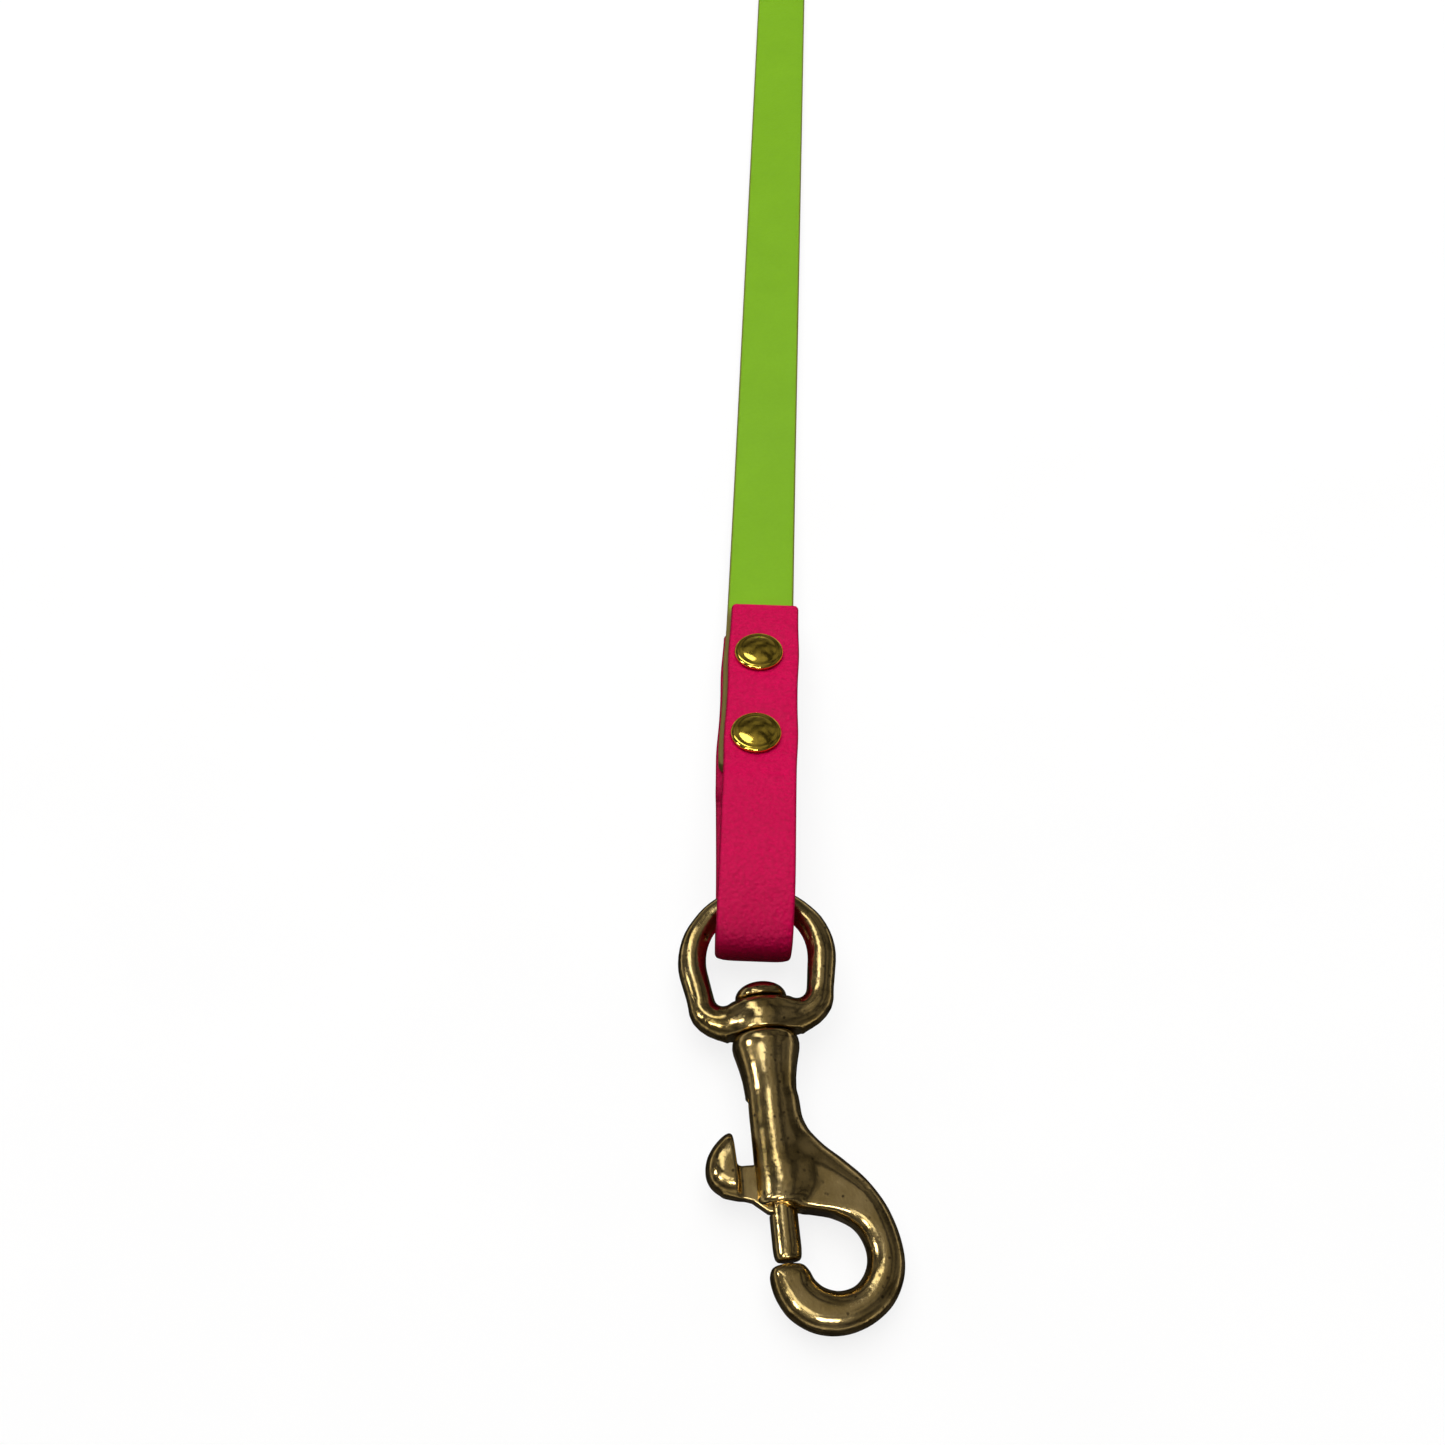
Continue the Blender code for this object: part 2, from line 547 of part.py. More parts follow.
def build_handle(lime, pink, brass):
    """The strap's tail, the handle strap folded round it into a hand loop, and two rivets."""
    seat = add_empty("handle_joint", HANDLE_EDGE, (0, 0, HANDLE_TURN))
    up = Vector((0, 0, 1))
    into = Matrix.Translation(HANDLE_EDGE) @ Matrix.Rotation(HANDLE_TURN, 4, "Z")
    bend = Vector((-HANK_PITCH * 2, STRAIGHT_Y + GAP, STRAP_WIDTH / 2))
    tail_line = through([bend, bend + TAIL_LEAD, HANDLE_EDGE, into @ Vector((0, TUCK, 0))], TAIL_STEP)
    tail = add_strap("strap_tail", tail_line, [up] * len(tail_line), STRAP_WIDTH, STRAP_THICK, lime)
    sides = [[Vector((side * LAYER, y, 0)) for y in (0, TUCK / 2, TUCK)] for side in (1, -1)]
    lean = Matrix.Rotation(-0.5 * HANDLE_TURN, 4, "Z")
    foot = Vector((0, TUCK, 0))
    reach = HANDLE_REACH - STRAP_THICK / 2
    hand = [foot + lean @ Vector((x * MM, share * reach, 0)) for share, x in HAND_LOOP]
    line = through([sides[0][2], *hand, sides[1][2]], HAND_STEP)
    line = [*sides[0][:2], *line, *reversed(sides[1][:2])]
    handle = add_strap("handle_strap", line, [up] * len(line), STRAP_WIDTH, STRAP_THICK, pink, seat)
    for number in (1, 2):
        y = RIVET_FROM_EDGE + (number - 1) * RIVET_PITCH
        hole = add_rivet(f"handle_rivet_{number}", brass, (0, y, 0), (0, pi / 2, 0), seat)
        combine(tail, hole, "DIFFERENCE")
        combine(handle, hole, "DIFFERENCE")


def main():
    clear_scene()
    new_collection(NAME)
    new_collection("cutters")
    lime = new_material("lime_strap", (0.19, 0.43, 0.02), 0.55)
    pink = new_material("pink_strap", (0.58, 0.01, 0.09), 0.5)
    brass = new_material("brass", (0.55, 0.42, 0.16), 0.2, 1.0)
    steel = new_material("spring_steel", (0.45, 0.45, 0.46), 0.3, 1.0)
    black = new_material("tie_band", (0.02, 0.02, 0.02), 0.8)

    main_strap = build_main_strap(lime)
    loop_strap = build_loop_strap(pink)
    build_snap_joint(brass, main_strap, loop_strap)
    build_hank(lime)
    build_tie(black)
    build_handle(lime, pink, brass)

    yaw = add_empty("snap_yaw", BAR, (0, 0, SNAP_YAW))
    eye_pivot = add_empty("eye_pivot", (0, 0, 0), (SNAP_PITCH, 0, 0), yaw)
    eye_frame = add_empty("eye_frame", (0, 0, 0), (0, EYE_ROLL, 0), eye_pivot)
    from_gap = Vector((0, -BAR_TO_GAP, 0))
    eye_lengths = add_empty("eye_lengths", from_gap, parent=eye_frame)
    snap_frame = add_empty("swivel_axis", from_gap, parent=eye_pivot)
    bolt_frame = add_empty("bolt_axis", (0, 0, 0), parent=snap_frame)
    build_eye(brass, eye_lengths)
    build_snap_body(brass, snap_frame)
    build_stud(brass, snap_frame)
    build_spring(steel, snap_frame)
    build_bolt(brass, bolt_frame)
    build_thumb_lever(brass, bolt_frame)


main()
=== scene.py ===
"""Looks of the training leash: coated straps, rolled rivets and a polished cast-brass bolt snap.

Everything is built in millimetres in the leash's own frame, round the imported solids, and scaled to
metres as it becomes a mesh. Castings are distance fields, skinned and settled onto their surface.
"""

import json
from math import atan, ceil, cos, pi, radians, sin

import bpy
import numpy as np
from mathutils import Matrix, Vector


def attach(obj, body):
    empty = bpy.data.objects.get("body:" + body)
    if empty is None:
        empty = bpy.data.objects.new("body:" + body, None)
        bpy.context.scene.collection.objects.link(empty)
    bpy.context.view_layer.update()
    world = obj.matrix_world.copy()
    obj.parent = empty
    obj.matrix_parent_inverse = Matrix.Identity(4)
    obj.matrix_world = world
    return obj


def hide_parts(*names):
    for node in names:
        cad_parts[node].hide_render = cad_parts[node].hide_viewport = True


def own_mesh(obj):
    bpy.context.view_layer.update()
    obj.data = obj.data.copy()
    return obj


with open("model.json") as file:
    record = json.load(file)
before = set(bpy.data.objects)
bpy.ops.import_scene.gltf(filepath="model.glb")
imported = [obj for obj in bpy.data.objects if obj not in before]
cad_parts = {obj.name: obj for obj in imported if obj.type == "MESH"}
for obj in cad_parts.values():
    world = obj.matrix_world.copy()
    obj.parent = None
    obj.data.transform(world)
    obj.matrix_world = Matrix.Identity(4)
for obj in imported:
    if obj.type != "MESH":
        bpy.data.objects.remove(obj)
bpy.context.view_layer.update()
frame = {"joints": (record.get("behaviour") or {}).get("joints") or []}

MM = 0.001

# The leash's driving dimensions, in millimetres; it lies along Y, its snap end towards -Y
STRAP_WIDTH = 13.0
STRAP_THICK = 2.5
STRAP_EDGE_R = 0.55
GAP = 0.3
LAYER = STRAP_THICK + GAP

# The joint at the snap end
JOINT_SLOPE = 0.12  # the strap leaves the table at LANDING_Y and rises this steeply through the joint
LEAN = atan(JOINT_SLOPE)
LANDING_Y = -2.0
JOINT_EDGE_Y = -56.2  # the pink strap's upper end
RIVET_FROM_EDGE = 12.8
RIVET_PITCH = 19.8
TUCK = 38.0  # how deep the lime strap goes into a joint
TUCKED_Y = JOINT_EDGE_Y - TUCK
SKEW = 0.9  # how far the upper pink layer lies to the side of the lime strap
LOOP_END_Y = -129.7
UNDER_SHORT = 3.0  # the loop's lower end stops this far short of its upper end

# The folded spare length, its tie and the handle
TWIST = (180.0, 262.0)  # the strap turns onto its edge between these
TURN_R = 33.0
HANK_PITCH = 4.8  # from one run of the fold to the next
STRAIGHT_Y = 300.0
STRAIGHT = 182.76
TIE_Y = STRAIGHT_Y + 0.45 * STRAIGHT
TIE_WIDTH = 12.0
TIE_THICK = 0.8
TIE_LIFT = TIE_THICK + GAP  # how far the tied runs are lifted off the table
HANDLE_EDGE = (-12.4, 314.0, STRAP_WIDTH / 2)
HANDLE_TURN = radians(12)
HANDLE_REACH = 158.0

# The straps' finish
LIME_CORNER_R = 1.5
SHADED_TUCK = TUCK + 1.2  # the lime strap's edges are painted in shade this far from its tucked end, where they lie between the pink layers
CURL = 0.65  # how far the pink strap's edges curl where it bends round the eye

# The camera stands over the snap end and looks along the strap
CAMERA_AT = (-0.0001, -0.2302, 0.22966)
CAMERA_TURN = (radians(33.55), 0, radians(2.4))
CAMERA_LENS = 35.92
CAMERA_SENSOR = 36

# Studio
LIGHT_AIM = Vector((0.005, -0.13, 0.005))
FLOOR_Z = -0.2
FLOOR_HALF = 6000
BACKDROP_TURN = 1500
WINDOW_PITCH = 1.25  # from one pane to the next, in panes


# ---------------------------------------------------------------- camera, meshes and curves


def build_camera():
    data = bpy.data.cameras.new("camera")
    data.lens = CAMERA_LENS
    data.sensor_width = CAMERA_SENSOR
    camera = bpy.data.objects.new("camera", data)
    camera.location = CAMERA_AT
    camera.rotation_euler = CAMERA_TURN
    bpy.context.scene.collection.objects.link(camera)
    bpy.context.scene.camera = camera


def mesh_object(name, points, faces, material, crease=None):
    """A smooth-shaded mesh from points in millimetres; edges sharper than crease stay sharp."""
    mesh = bpy.data.meshes.new(name)
    mesh.from_pydata((np.asarray(points) * MM).tolist(), [], [tuple(f) for f in faces])
    mesh.shade_smooth()
    if crease:
        mesh.set_sharp_from_angle(angle=crease)
    mesh.materials.append(material)
    made = bpy.data.objects.new(name, mesh)
    bpy.context.scene.collection.objects.link(made)
    return made


def place(points, matrix):
    """Points moved by a 4x4 matrix whose lengths are millimetres."""
    m = np.array(matrix)
    return np.asarray(points) @ m[:3, :3].T + m[:3, 3]


def through(points, per_span, closed=False):
    """A smooth line through the points, with per_span of its own points in each span."""
    p = np.array(points, float)
    if closed:
        ends = np.vstack([p[-1], p, p[:2]])
    else:
        ends = np.vstack([2 * p[0] - p[1], p, 2 * p[-1] - p[-2]])
    t = (np.arange(per_span) / per_span)[:, None]
    line = []
    for a, b, c, d in zip(ends, ends[1:], ends[2:], ends[3:]):
        line.append(
            0.5 * (2 * b + (c - a) * t + (2 * a - 5 * b + 4 * c - d) * t**2
                   + (3 * b - a - 3 * c + d) * t**3)
        )
    line = np.vstack(line)
    return line if closed else np.vstack([line, p[-1]])


def lengths_along(line):
    steps = np.linalg.norm(np.diff(line, axis=0), axis=1)
    return np.concatenate([[0], np.cumsum(steps)])


def resampled(line, stops):
    """The line's points at the given lengths along it."""
    s = lengths_along(line)
    return np.stack([np.interp(stops, s, line[:, k]) for k in range(3)], axis=1)


def stops_along(length, step):
    """Lengths a step apart, closer together at both ends, where the corners are rounded."""
    close = np.array([0, 0.06, 0.2, 0.45, 0.8])
    first = 1.3
    middle = np.linspace(first, length - first, ceil((length - 2 * first) / step) + 1)
    return np.concatenate([close, middle, length - close[::-1]])


def grid_faces(rows, columns):
    """Quads of a grid whose columns close on themselves."""
    i = np.arange(rows - 1)[:, None]
    j = np.arange(columns)[None, :]
    k = (j + 1) % columns
    a, b, c, d = i * columns + j, i * columns + k, (i + 1) * columns + k, (i + 1) * columns + j
    return np.stack([a, b, c, d], axis=-1).reshape(-1, 4).tolist()


def lathe(profile, sides):
    """Points and faces of a profile, (radius, height) pairs from top to bottom, turned round Z."""
    turn = 2 * pi * np.arange(sides) / sides
    rings = [(r, z) for r, z in profile if r > 0]
    points = [(r * cos(a), r * sin(a), z) for r, z in rings for a in turn]
    faces = [f[::-1] for f in grid_faces(len(rings), sides)]
    last = len(points) - sides
    faces.append(list(range(sides)))
    faces.append(list(range(last + sides - 1, last - 1, -1)))
    return np.array(points), faces


# ---------------------------------------------------------------- straps


def strap_section(width=STRAP_WIDTH, thick=STRAP_THICK, edge_r=STRAP_EDGE_R, flats=14, rounds=4):
    """The strap's section as (across, up) pairs, anticlockwise, with rounded corners."""
    u, v = width / 2 - edge_r, thick / 2 - edge_r
    corners = [(u, -v, -90), (u, v, 0), (-u, v, 90), (-u, -v, 180)]
    section = []
    for index, (cu, cv, start) in enumerate(corners):
        for k in range(rounds + 1):
            a = radians(start + 90 * k / rounds)
            section.append((cu + edge_r * cos(a), cv + edge_r * sin(a)))
        nu, nv, _ = corners[(index + 1) % 4]
        side = radians(start + 90)
        parts = flats if index % 2 else 2
        for k in range(1, parts):
            share = k / parts
            section.append((cu + (nu - cu) * share + edge_r * cos(side),
                            cv + (nv - cv) * share + edge_r * sin(side)))
    return np.array(section)


def strap(name, line, across, material, form=None, step=1.5, section=None, corner_r=0.8, edge_shade=0.0):
    """A strap swept along the line, its width along across, and its ends' corners rounded.

    form(s, u, v) gives back the section's u and v at each length s along the strap. The mesh's
    attribute "side" marks where the strap is painted in shade: at its cut sides, and along the edges
    of its first edge_shade length.
    """
    section = strap_section() if section is None else section
    stops = stops_along(lengths_along(line)[-1], step)
    across = resampled_across(line, across, stops)
    line = resampled(line, stops)
    ahead = np.gradient(line, stops, axis=0)
    ahead /= np.linalg.norm(ahead, axis=1)[:, None]
    up = np.cross(across, ahead)
    u, v = (np.broadcast_to(section[:, k], (len(stops), len(section))).copy() for k in (0, 1))
    half = abs(section[:, 0]).max()
    from_end = np.minimum(stops, stops[-1] - stops)
    into = np.clip(corner_r - from_end, 0, corner_r)
    narrow = 1 - (corner_r - np.sqrt(corner_r**2 - into**2)) / half
    end_r = 0.3
    soft = np.clip(end_r - from_end, 0, end_r)
    thin = 1 - (end_r - np.sqrt(end_r**2 - soft**2)) / abs(section[:, 1]).max()
    if form:
        u, v = form(stops[:, None], u, v)
    u, v = u * narrow[:, None], v * thin[:, None]
    points = line[:, None] + u[..., None] * across[:, None] + v[..., None] * up[:, None]
    rows, columns = u.shape
    faces = grid_faces(rows, columns)
    faces.append(list(range(columns - 1, -1, -1)))
    faces.append(list(range((rows - 1) * columns, rows * columns)))
    made = mesh_object(name, points.reshape(-1, 3), faces, material, crease=radians(50))
    from_side = half - np.abs(section[:, 0])
    # painted shade: the cut sides, and the edges of the tucked length between the pink layers, are marked
    # for the darker shade colour
    on_side = np.clip((0.42 - from_side) / 0.3, 0, 1)
    tucked = np.clip((edge_shade - stops[:, None]) / step + 0.5, 0, 1) * (from_side < 1.5)
    shade_share = np.maximum(on_side[None, :], tucked)
    sides = made.data.attributes.new("side", "FLOAT", "POINT")
    sides.data.foreach_set("value", shade_share.ravel().astype(np.float32))
    return made, line


def resampled_across(line, across, stops):
    s = lengths_along(line)
    found = np.stack([np.interp(stops, s, across[:, k]) for k in range(3)], axis=1)
    return found / np.linalg.norm(found, axis=1)[:, None]


def joint_height(y):
    """Height of the main strap's middle: flat on the table, then rising into the joint."""
    flat = STRAP_THICK / 2
    ramp = LANDING_Y - JOINT_EDGE_Y
    into = np.clip(LANDING_Y - y, 0, ramp)
    return flat + JOINT_SLOPE * into**2 / (2 * ramp) + JOINT_SLOPE * np.maximum(0, JOINT_EDGE_Y - y)


def joint_point(y, layer=0.0):
    """A point of the joint, above or below its middle, square to its slope.

    The pink layers lie a little to the side: the upper one to the right, the lower one half as far left.
    """
    aside = SKEW * layer / LAYER * (1 if layer > 0 else 0.5)
    return (aside, y + layer * sin(LEAN), float(joint_height(y)) + layer * cos(LEAN))


def half_turn(centre_x, centre_y, radius, start):
    """Plan points of half a turn, anticlockwise from an angle in degrees."""
    angles = np.radians(np.linspace(start, start + 180, 49))
    return np.stack([centre_x + radius * np.cos(angles), centre_y + radius * np.sin(angles)], axis=1)


def hank_plan():
    """Plan of the folded strap: two turns of a long flat spiral that ends in the handle joint."""
    top = STRAIGHT_Y + STRAIGHT
    plan = []
    radius = TURN_R
    for _ in range(2):
        plan.append(half_turn(-TURN_R, top, radius, 0))
        radius -= HANK_PITCH / 2
        plan.append(half_turn(-TURN_R - HANK_PITCH / 2, STRAIGHT_Y, radius, 180))
        radius -= HANK_PITCH / 2
    plan = np.vstack(plan)
    bend = plan[-1]
    lead = [bend, bend + (-0.4, 6.0), HANDLE_EDGE[:2]]
    lead.append((HANDLE_EDGE[0] - TUCK * sin(HANDLE_TURN), HANDLE_EDGE[1] + TUCK * cos(HANDLE_TURN)))
    return np.vstack([plan, through(lead, 12)[1:]])


def main_route():
    """The lime strap's middle line and its width's direction, from its tucked end to the handle."""
    step = 2.0
    before, after = np.arange(TUCKED_Y, TWIST[0], step), np.arange(TWIST[0], STRAIGHT_Y + STRAIGHT, step)
    y = np.concatenate([before, after])
    share = np.clip((y - TWIST[0]) / (TWIST[1] - TWIST[0]), 0, 1)
    turn = pi / 2 * share**2 * (3 - 2 * share)
    rise = np.sin(turn) * STRAP_WIDTH / 2 + np.cos(turn) * STRAP_THICK / 2 - STRAP_THICK / 2
    straight = np.stack([0 * y, y, joint_height(y) + rise], axis=1)
    along = np.stack([np.cos(turn), 0 * y, np.sin(turn)], axis=1)
    plan = hank_plan()
    line = np.vstack([straight, np.column_stack([plan, np.full(len(plan), STRAP_WIDTH / 2)])])
    across = np.vstack([along, np.tile((0.0, 0, 1), (len(plan), 1))])
    stops = stops_along(lengths_along(line)[-1], 1.5)
    across = resampled_across(line, across, stops)
    line = resampled(line, stops)
    lift_reach, left_of = 70, -45
    near_tie = np.clip(1 - np.abs(line[:, 1] - TIE_Y) / lift_reach, 0, 1)
    on_left = (line[:, 0] < left_of).astype(float)
    line[:, 2] += 1.02 * TIE_LIFT * on_left * near_tie**2 * (3 - 2 * near_tie)
    return line, across


def pressed(rivets, outer):
    """A strap's form where rivets press it: edges that bulge, and dimples on its outer face.

    The outer face is the upper one for 1 and the lower one for -1; 0 leaves both faces flat.
    """
    dimple_depth, dimple_r, bulge, bulge_reach = 0.32, 4.0, 0.034, 5.2

    def form(s, u, v):
        u, v = u.copy(), v.copy()
        for at in rivets:
            near = np.exp(-(((s - at) / bulge_reach) ** 2))
            reach = np.hypot(s - at, u)
            dimple = dimple_depth * np.exp(-np.maximum(0, reach - dimple_r) ** 2 / 3.2)
            v -= outer * dimple * (v * outer > 0)
            u *= 1 + bulge * near
        return u, v

    return form


def build_main_strap(material):
    line, across = main_route()
    length = lengths_along(line)[-1]
    rivets = [(JOINT_EDGE_Y - RIVET_FROM_EDGE - TUCKED_Y) / cos(LEAN)]
    rivets.append(rivets[0] - RIVET_PITCH / cos(LEAN))
    made, middle = strap("lime_strap", line, across, material, form=pressed(rivets, 0),
                         corner_r=LIME_CORNER_R, edge_shade=SHADED_TUCK)
    return made, middle, length


def build_loop_strap(material):
    """The pink strap folded round the eye, its two ends above and below the lime strap."""
    end = LOOP_END_Y + STRAP_THICK / 2
    bend = [(0.9, 29, 12.9), (0.9, 18, 13.4), (0.9, 9.3, 13.2), (0.9, 1.6, 11.2), (0.9, 0, 7.4),
            (0.8, 1.6, 3.6), (0.6, 9.1, 1.5), (0.2, 18, 1.5), (-0.3, 29, 3.7)]
    route = [joint_point(y, LAYER) for y in (JOINT_EDGE_Y, JOINT_EDGE_Y - TUCK / 2, TUCKED_Y)]
    route += [(x, end + y, z) for x, y, z in bend]
    under_y = JOINT_EDGE_Y - UNDER_SHORT
    route += [joint_point(y, -LAYER) for y in (TUCKED_Y, (TUCKED_Y + under_y) / 2, under_y)]
    line = through(route, 24)
    across = np.tile((1.0, 0, 0), (len(line), 1))
    s = lengths_along(line)
    lowest = s[np.argmin(line[:, 1])]
    first = RIVET_FROM_EDGE / cos(LEAN)
    pitch = RIVET_PITCH / cos(LEAN)
    last = s[-1] - (RIVET_FROM_EDGE - UNDER_SHORT) / cos(LEAN)
    squeeze = pressed([first, first + pitch, last, last - pitch], -1)
    half = STRAP_WIDTH / 2

    def form(s, u, v):
        u, v = squeeze(s, u, v)
        bent = np.exp(-(((s - lowest) / 6.5) ** 2))
        v = v + CURL * bent * (np.abs(u) / half) ** 7
        slack = np.exp(-(((s - lowest) / 22) ** 2))
        u = u * (1 - 0.012 * bent) + 0.12 * slack * np.sin(s / 7.5)
        return u, v

    made, _ = strap("loop_strap_pink", line, across, material, form=form, step=0.7)
    return made


def handle_frame():
    return Matrix.Translation(HANDLE_EDGE) @ Matrix.Rotation(HANDLE_TURN, 4, "Z")


def build_handle_strap(material):
    """The hand loop: one strap whose two ends hold the lime strap's tail between them."""
    loop = [(0.12, 4.4), (0.3, 9.6), (0.52, 15.0), (0.74, 18.2), (0.9, 16.2), (0.98, 9.5),
            (1.0, 0.0), (0.98, -9.5), (0.9, -16.2), (0.74, -18.2), (0.52, -15.0), (0.3, -9.6),
            (0.12, -4.4)]
    reach = HANDLE_REACH - STRAP_THICK / 2
    lean = -0.5 * HANDLE_TURN
    hand = []
    for share, x in loop:
        y = share * reach
        hand.append((x * cos(lean) - y * sin(lean), TUCK + x * sin(lean) + y * cos(lean), 0))
    ends = [[(side * LAYER, y, 0) for y in (0, TUCK / 2, TUCK)] for side in (1, -1)]
    line = place(through(ends[0] + hand + ends[1][::-1], 20), handle_frame())
    across = np.tile((0.0, 0, 1), (len(line), 1))
    total = lengths_along(line)[-1]
    rivets = [RIVET_FROM_EDGE, RIVET_FROM_EDGE + RIVET_PITCH]
    rivets += [total - at for at in rivets]
    made, _ = strap("handle_strap_pink", line, across, material, form=pressed(rivets, -1), step=1.0)
    return made


def build_tie(material):
    """A thin band wound round the hank's left runs, its end lapped on top."""
    slack = GAP + TIE_THICK / 2
    half = STRAP_THICK / 2 + 0.15
    left = -2 * TURN_R - half - slack
    right = -2 * TURN_R + HANK_PITCH + half + slack
    low, high = TIE_THICK / 2, STRAP_WIDTH + TIE_LIFT + slack
    lap = high + TIE_THICK + GAP
    r = 1.1
    route = [(left + r, high), (right - r, high), (right - 0.3 * r, high - 0.3 * r), (right, high - r),
             (right, (low + high) / 2), (right, low + r), (right - 0.3 * r, low + 0.3 * r),
             (right - r, low), (left + r, low), (left + 0.3 * r, low + 0.3 * r), (left, low + r),
             (left, (low + high) / 2), (left, lap - r), (left + 0.3 * r, lap - 0.3 * r),
             (left + r, lap), ((left + right) / 2, lap), (right - r, lap - 0.1)]
    line = through([(x, TIE_Y, z) for x, z in route], 8)
    across = np.tile((0.0, 1, 0), (len(line), 1))
    section = strap_section(TIE_WIDTH, TIE_THICK, 0.3, flats=24)

    def form(s, u, v):
        ribs = 0.06 * np.sin(u * 2 * pi / 0.9) * (np.abs(u) < TIE_WIDTH / 2 - 0.4)
        return u + 0.05 * np.sin(s * 3), v + np.sign(v) * ribs

    made, _ = strap("tie_band_wound", line, across, material, form=form, step=0.5, section=section,
                    corner_r=0.4)
    return made


# ---------------------------------------------------------------- castings as distance fields


def outline_distance(x, y, outline):
    """Signed distance from (x, y) to a closed outline, negative inside."""
    best = np.full(np.broadcast(x, y).shape, np.inf)
    sign = np.ones(best.shape)
    for (ax, ay), (bx, by) in zip(outline, np.roll(outline, -1, axis=0)):
        ex, ey = bx - ax, by - ay
        wx, wy = x - ax, y - ay
        t = np.clip((wx * ex + wy * ey) / (ex * ex + ey * ey), 0, 1)
        best = np.minimum(best, (wx - ex * t) ** 2 + (wy - ey * t) ** 2)
        above, below, left = y >= ay, y < by, ex * wy > ey * wx
        flip = (above & below & left) | (~above & ~below & ~left)
        sign = np.where(flip, -sign, sign)
    return sign * np.sqrt(best)


def path_distance(x, y, path):
    """Distance from (x, y) to an open path."""
    best = np.full(np.broadcast(x, y).shape, np.inf)
    for (ax, ay), (bx, by) in zip(path, path[1:]):
        ex, ey = bx - ax, by - ay
        wx, wy = x - ax, y - ay
        t = np.clip((wx * ex + wy * ey) / (ex * ex + ey * ey), 0, 1)
        best = np.minimum(best, (wx - ex * t) ** 2 + (wy - ey * t) ** 2)
    return np.sqrt(best)


def extruded(flat, z, half, edge_r):
    """A flat distance made a plate of half thickness half, its edges rounded by edge_r."""
    a, b = flat + edge_r, np.abs(z) - half + edge_r
    return np.hypot(np.maximum(a, 0), np.maximum(b, 0)) + np.minimum(np.maximum(a, b), 0) - edge_r


def joined(a, b, k):
    """Two shapes as one, with a fillet about k wide."""
    h = np.clip(0.5 + 0.5 * (b - a) / k, 0, 1)
    return b * (1 - h) + a * h - k * h * (1 - h)


def cut(a, b, k):
    """a with b taken away, and an edge rounded about k wide."""
    return -joined(-a, b, k)


def box_distance(x, y, z, low, high):
    parts = [np.abs(p - (a + b) / 2) - (b - a) / 2 for p, a, b in zip((x, y, z), low, high)]
    return np.maximum(np.maximum(parts[0], parts[1]), parts[2])


def eased(value, low, high):
    t = np.clip((value - low) / (high - low), 0, 1)
    return t * t * (3 - 2 * t)


def unevenness(x, y, z, seed):
    """The slight waviness of a hand-polished casting, within about one unit."""
    a = np.sin(0.61 * x + 0.37 * y + 0.53 * z + seed) * np.sin(0.44 * y - 0.5 * z + 2.1 * seed)
    b = np.sin(1.3 * x - 0.8 * y + 1.1 * z + 3.7 * seed) * np.sin(0.9 * y + 0.6 * x + seed)
    return 0.75 * a + 0.25 * b


def skin(field, low, high, step):
    """Points and quads of the field's zero surface in a box (surface nets)."""
    axes = [np.arange(a, b + step, step) for a, b in zip(low, high)]
    x, y, z = axes[0][:, None, None], axes[1][None, :, None], axes[2][None, None, :]
    value = field(x, y, z) + 0 * (x + y + z)
    inside = value < 0
    shape = np.array(value.shape) - 1
    total, count = np.zeros((*shape, 3)), np.zeros(shape)

    def corner(i, j, k):
        return value[i:i + shape[0], j:j + shape[1], k:k + shape[2]]

    for axis in range(3):
        for p in (0, 1):
            for q in (0, 1):
                start = [p, q]
                start.insert(axis, 0)
                end = [p, q]
                end.insert(axis, 1)
                a, b = corner(*start), corner(*end)
                crossing = (a < 0) != (b < 0)
                t = np.where(crossing, a / np.where(crossing, a - b, 1), 0)
                for k in range(3):
                    total[..., k] += np.where(crossing, t if k == axis else start[k], 0)
                count += crossing
    mixed = count > 0
    index = np.full(shape, -1)
    index[mixed] = np.arange(mixed.sum())
    cells = np.argwhere(mixed)
    points = np.array(low) + step * (cells + total[mixed] / count[mixed][:, None])
    faces = []
    for axis in range(3):
        b, c = (axis + 1) % 3, (axis + 2) % 3
        here = [slice(1, -1)] * 3
        here[axis] = slice(None, -1)
        there = [slice(1, -1)] * 3
        there[axis] = slice(1, None)
        lower, upper = inside[tuple(here)], inside[tuple(there)]
        spots = np.argwhere(lower != upper)
        ring = []
        for db, dc in ((0, 0), (1, 0), (1, 1), (0, 1)):
            at = spots.copy()
            at[:, b] += db
            at[:, c] += dc
            ring.append(index[tuple(at.T)])
        quads = np.stack(ring, axis=1)
        outward = lower[tuple(spots.T)]
        faces.append(np.where(outward[:, None], quads, quads[:, ::-1]))
    return points, np.vstack(faces)


def settled(points, faces, field, rounds=3):
    """Points evened out over the surface and put exactly on it."""
    pairs = np.vstack([faces[:, [k, (k + 1) % 4]] for k in range(4)])
    near = np.bincount(pairs[:, 0], minlength=len(points))[:, None]
    nudge = 0.02

    def onto(p):
        value = field(*p.T)
        slope = np.stack([
            field(*(p + nudge * axis).T) - field(*(p - nudge * axis).T) for axis in np.eye(3)
        ], axis=1) / (2 * nudge)
        steep = np.maximum((slope**2).sum(axis=1), 0.2)
        return p - np.clip(value / steep, -0.15, 0.15)[:, None] * slope

    for _ in range(rounds):
        sums = [np.bincount(pairs[:, 0], points[pairs[:, 1], k], len(points)) for k in range(3)]
        sums = np.stack(sums, axis=1)
        points = onto(0.5 * points + 0.5 * sums / near)
    return onto(points)


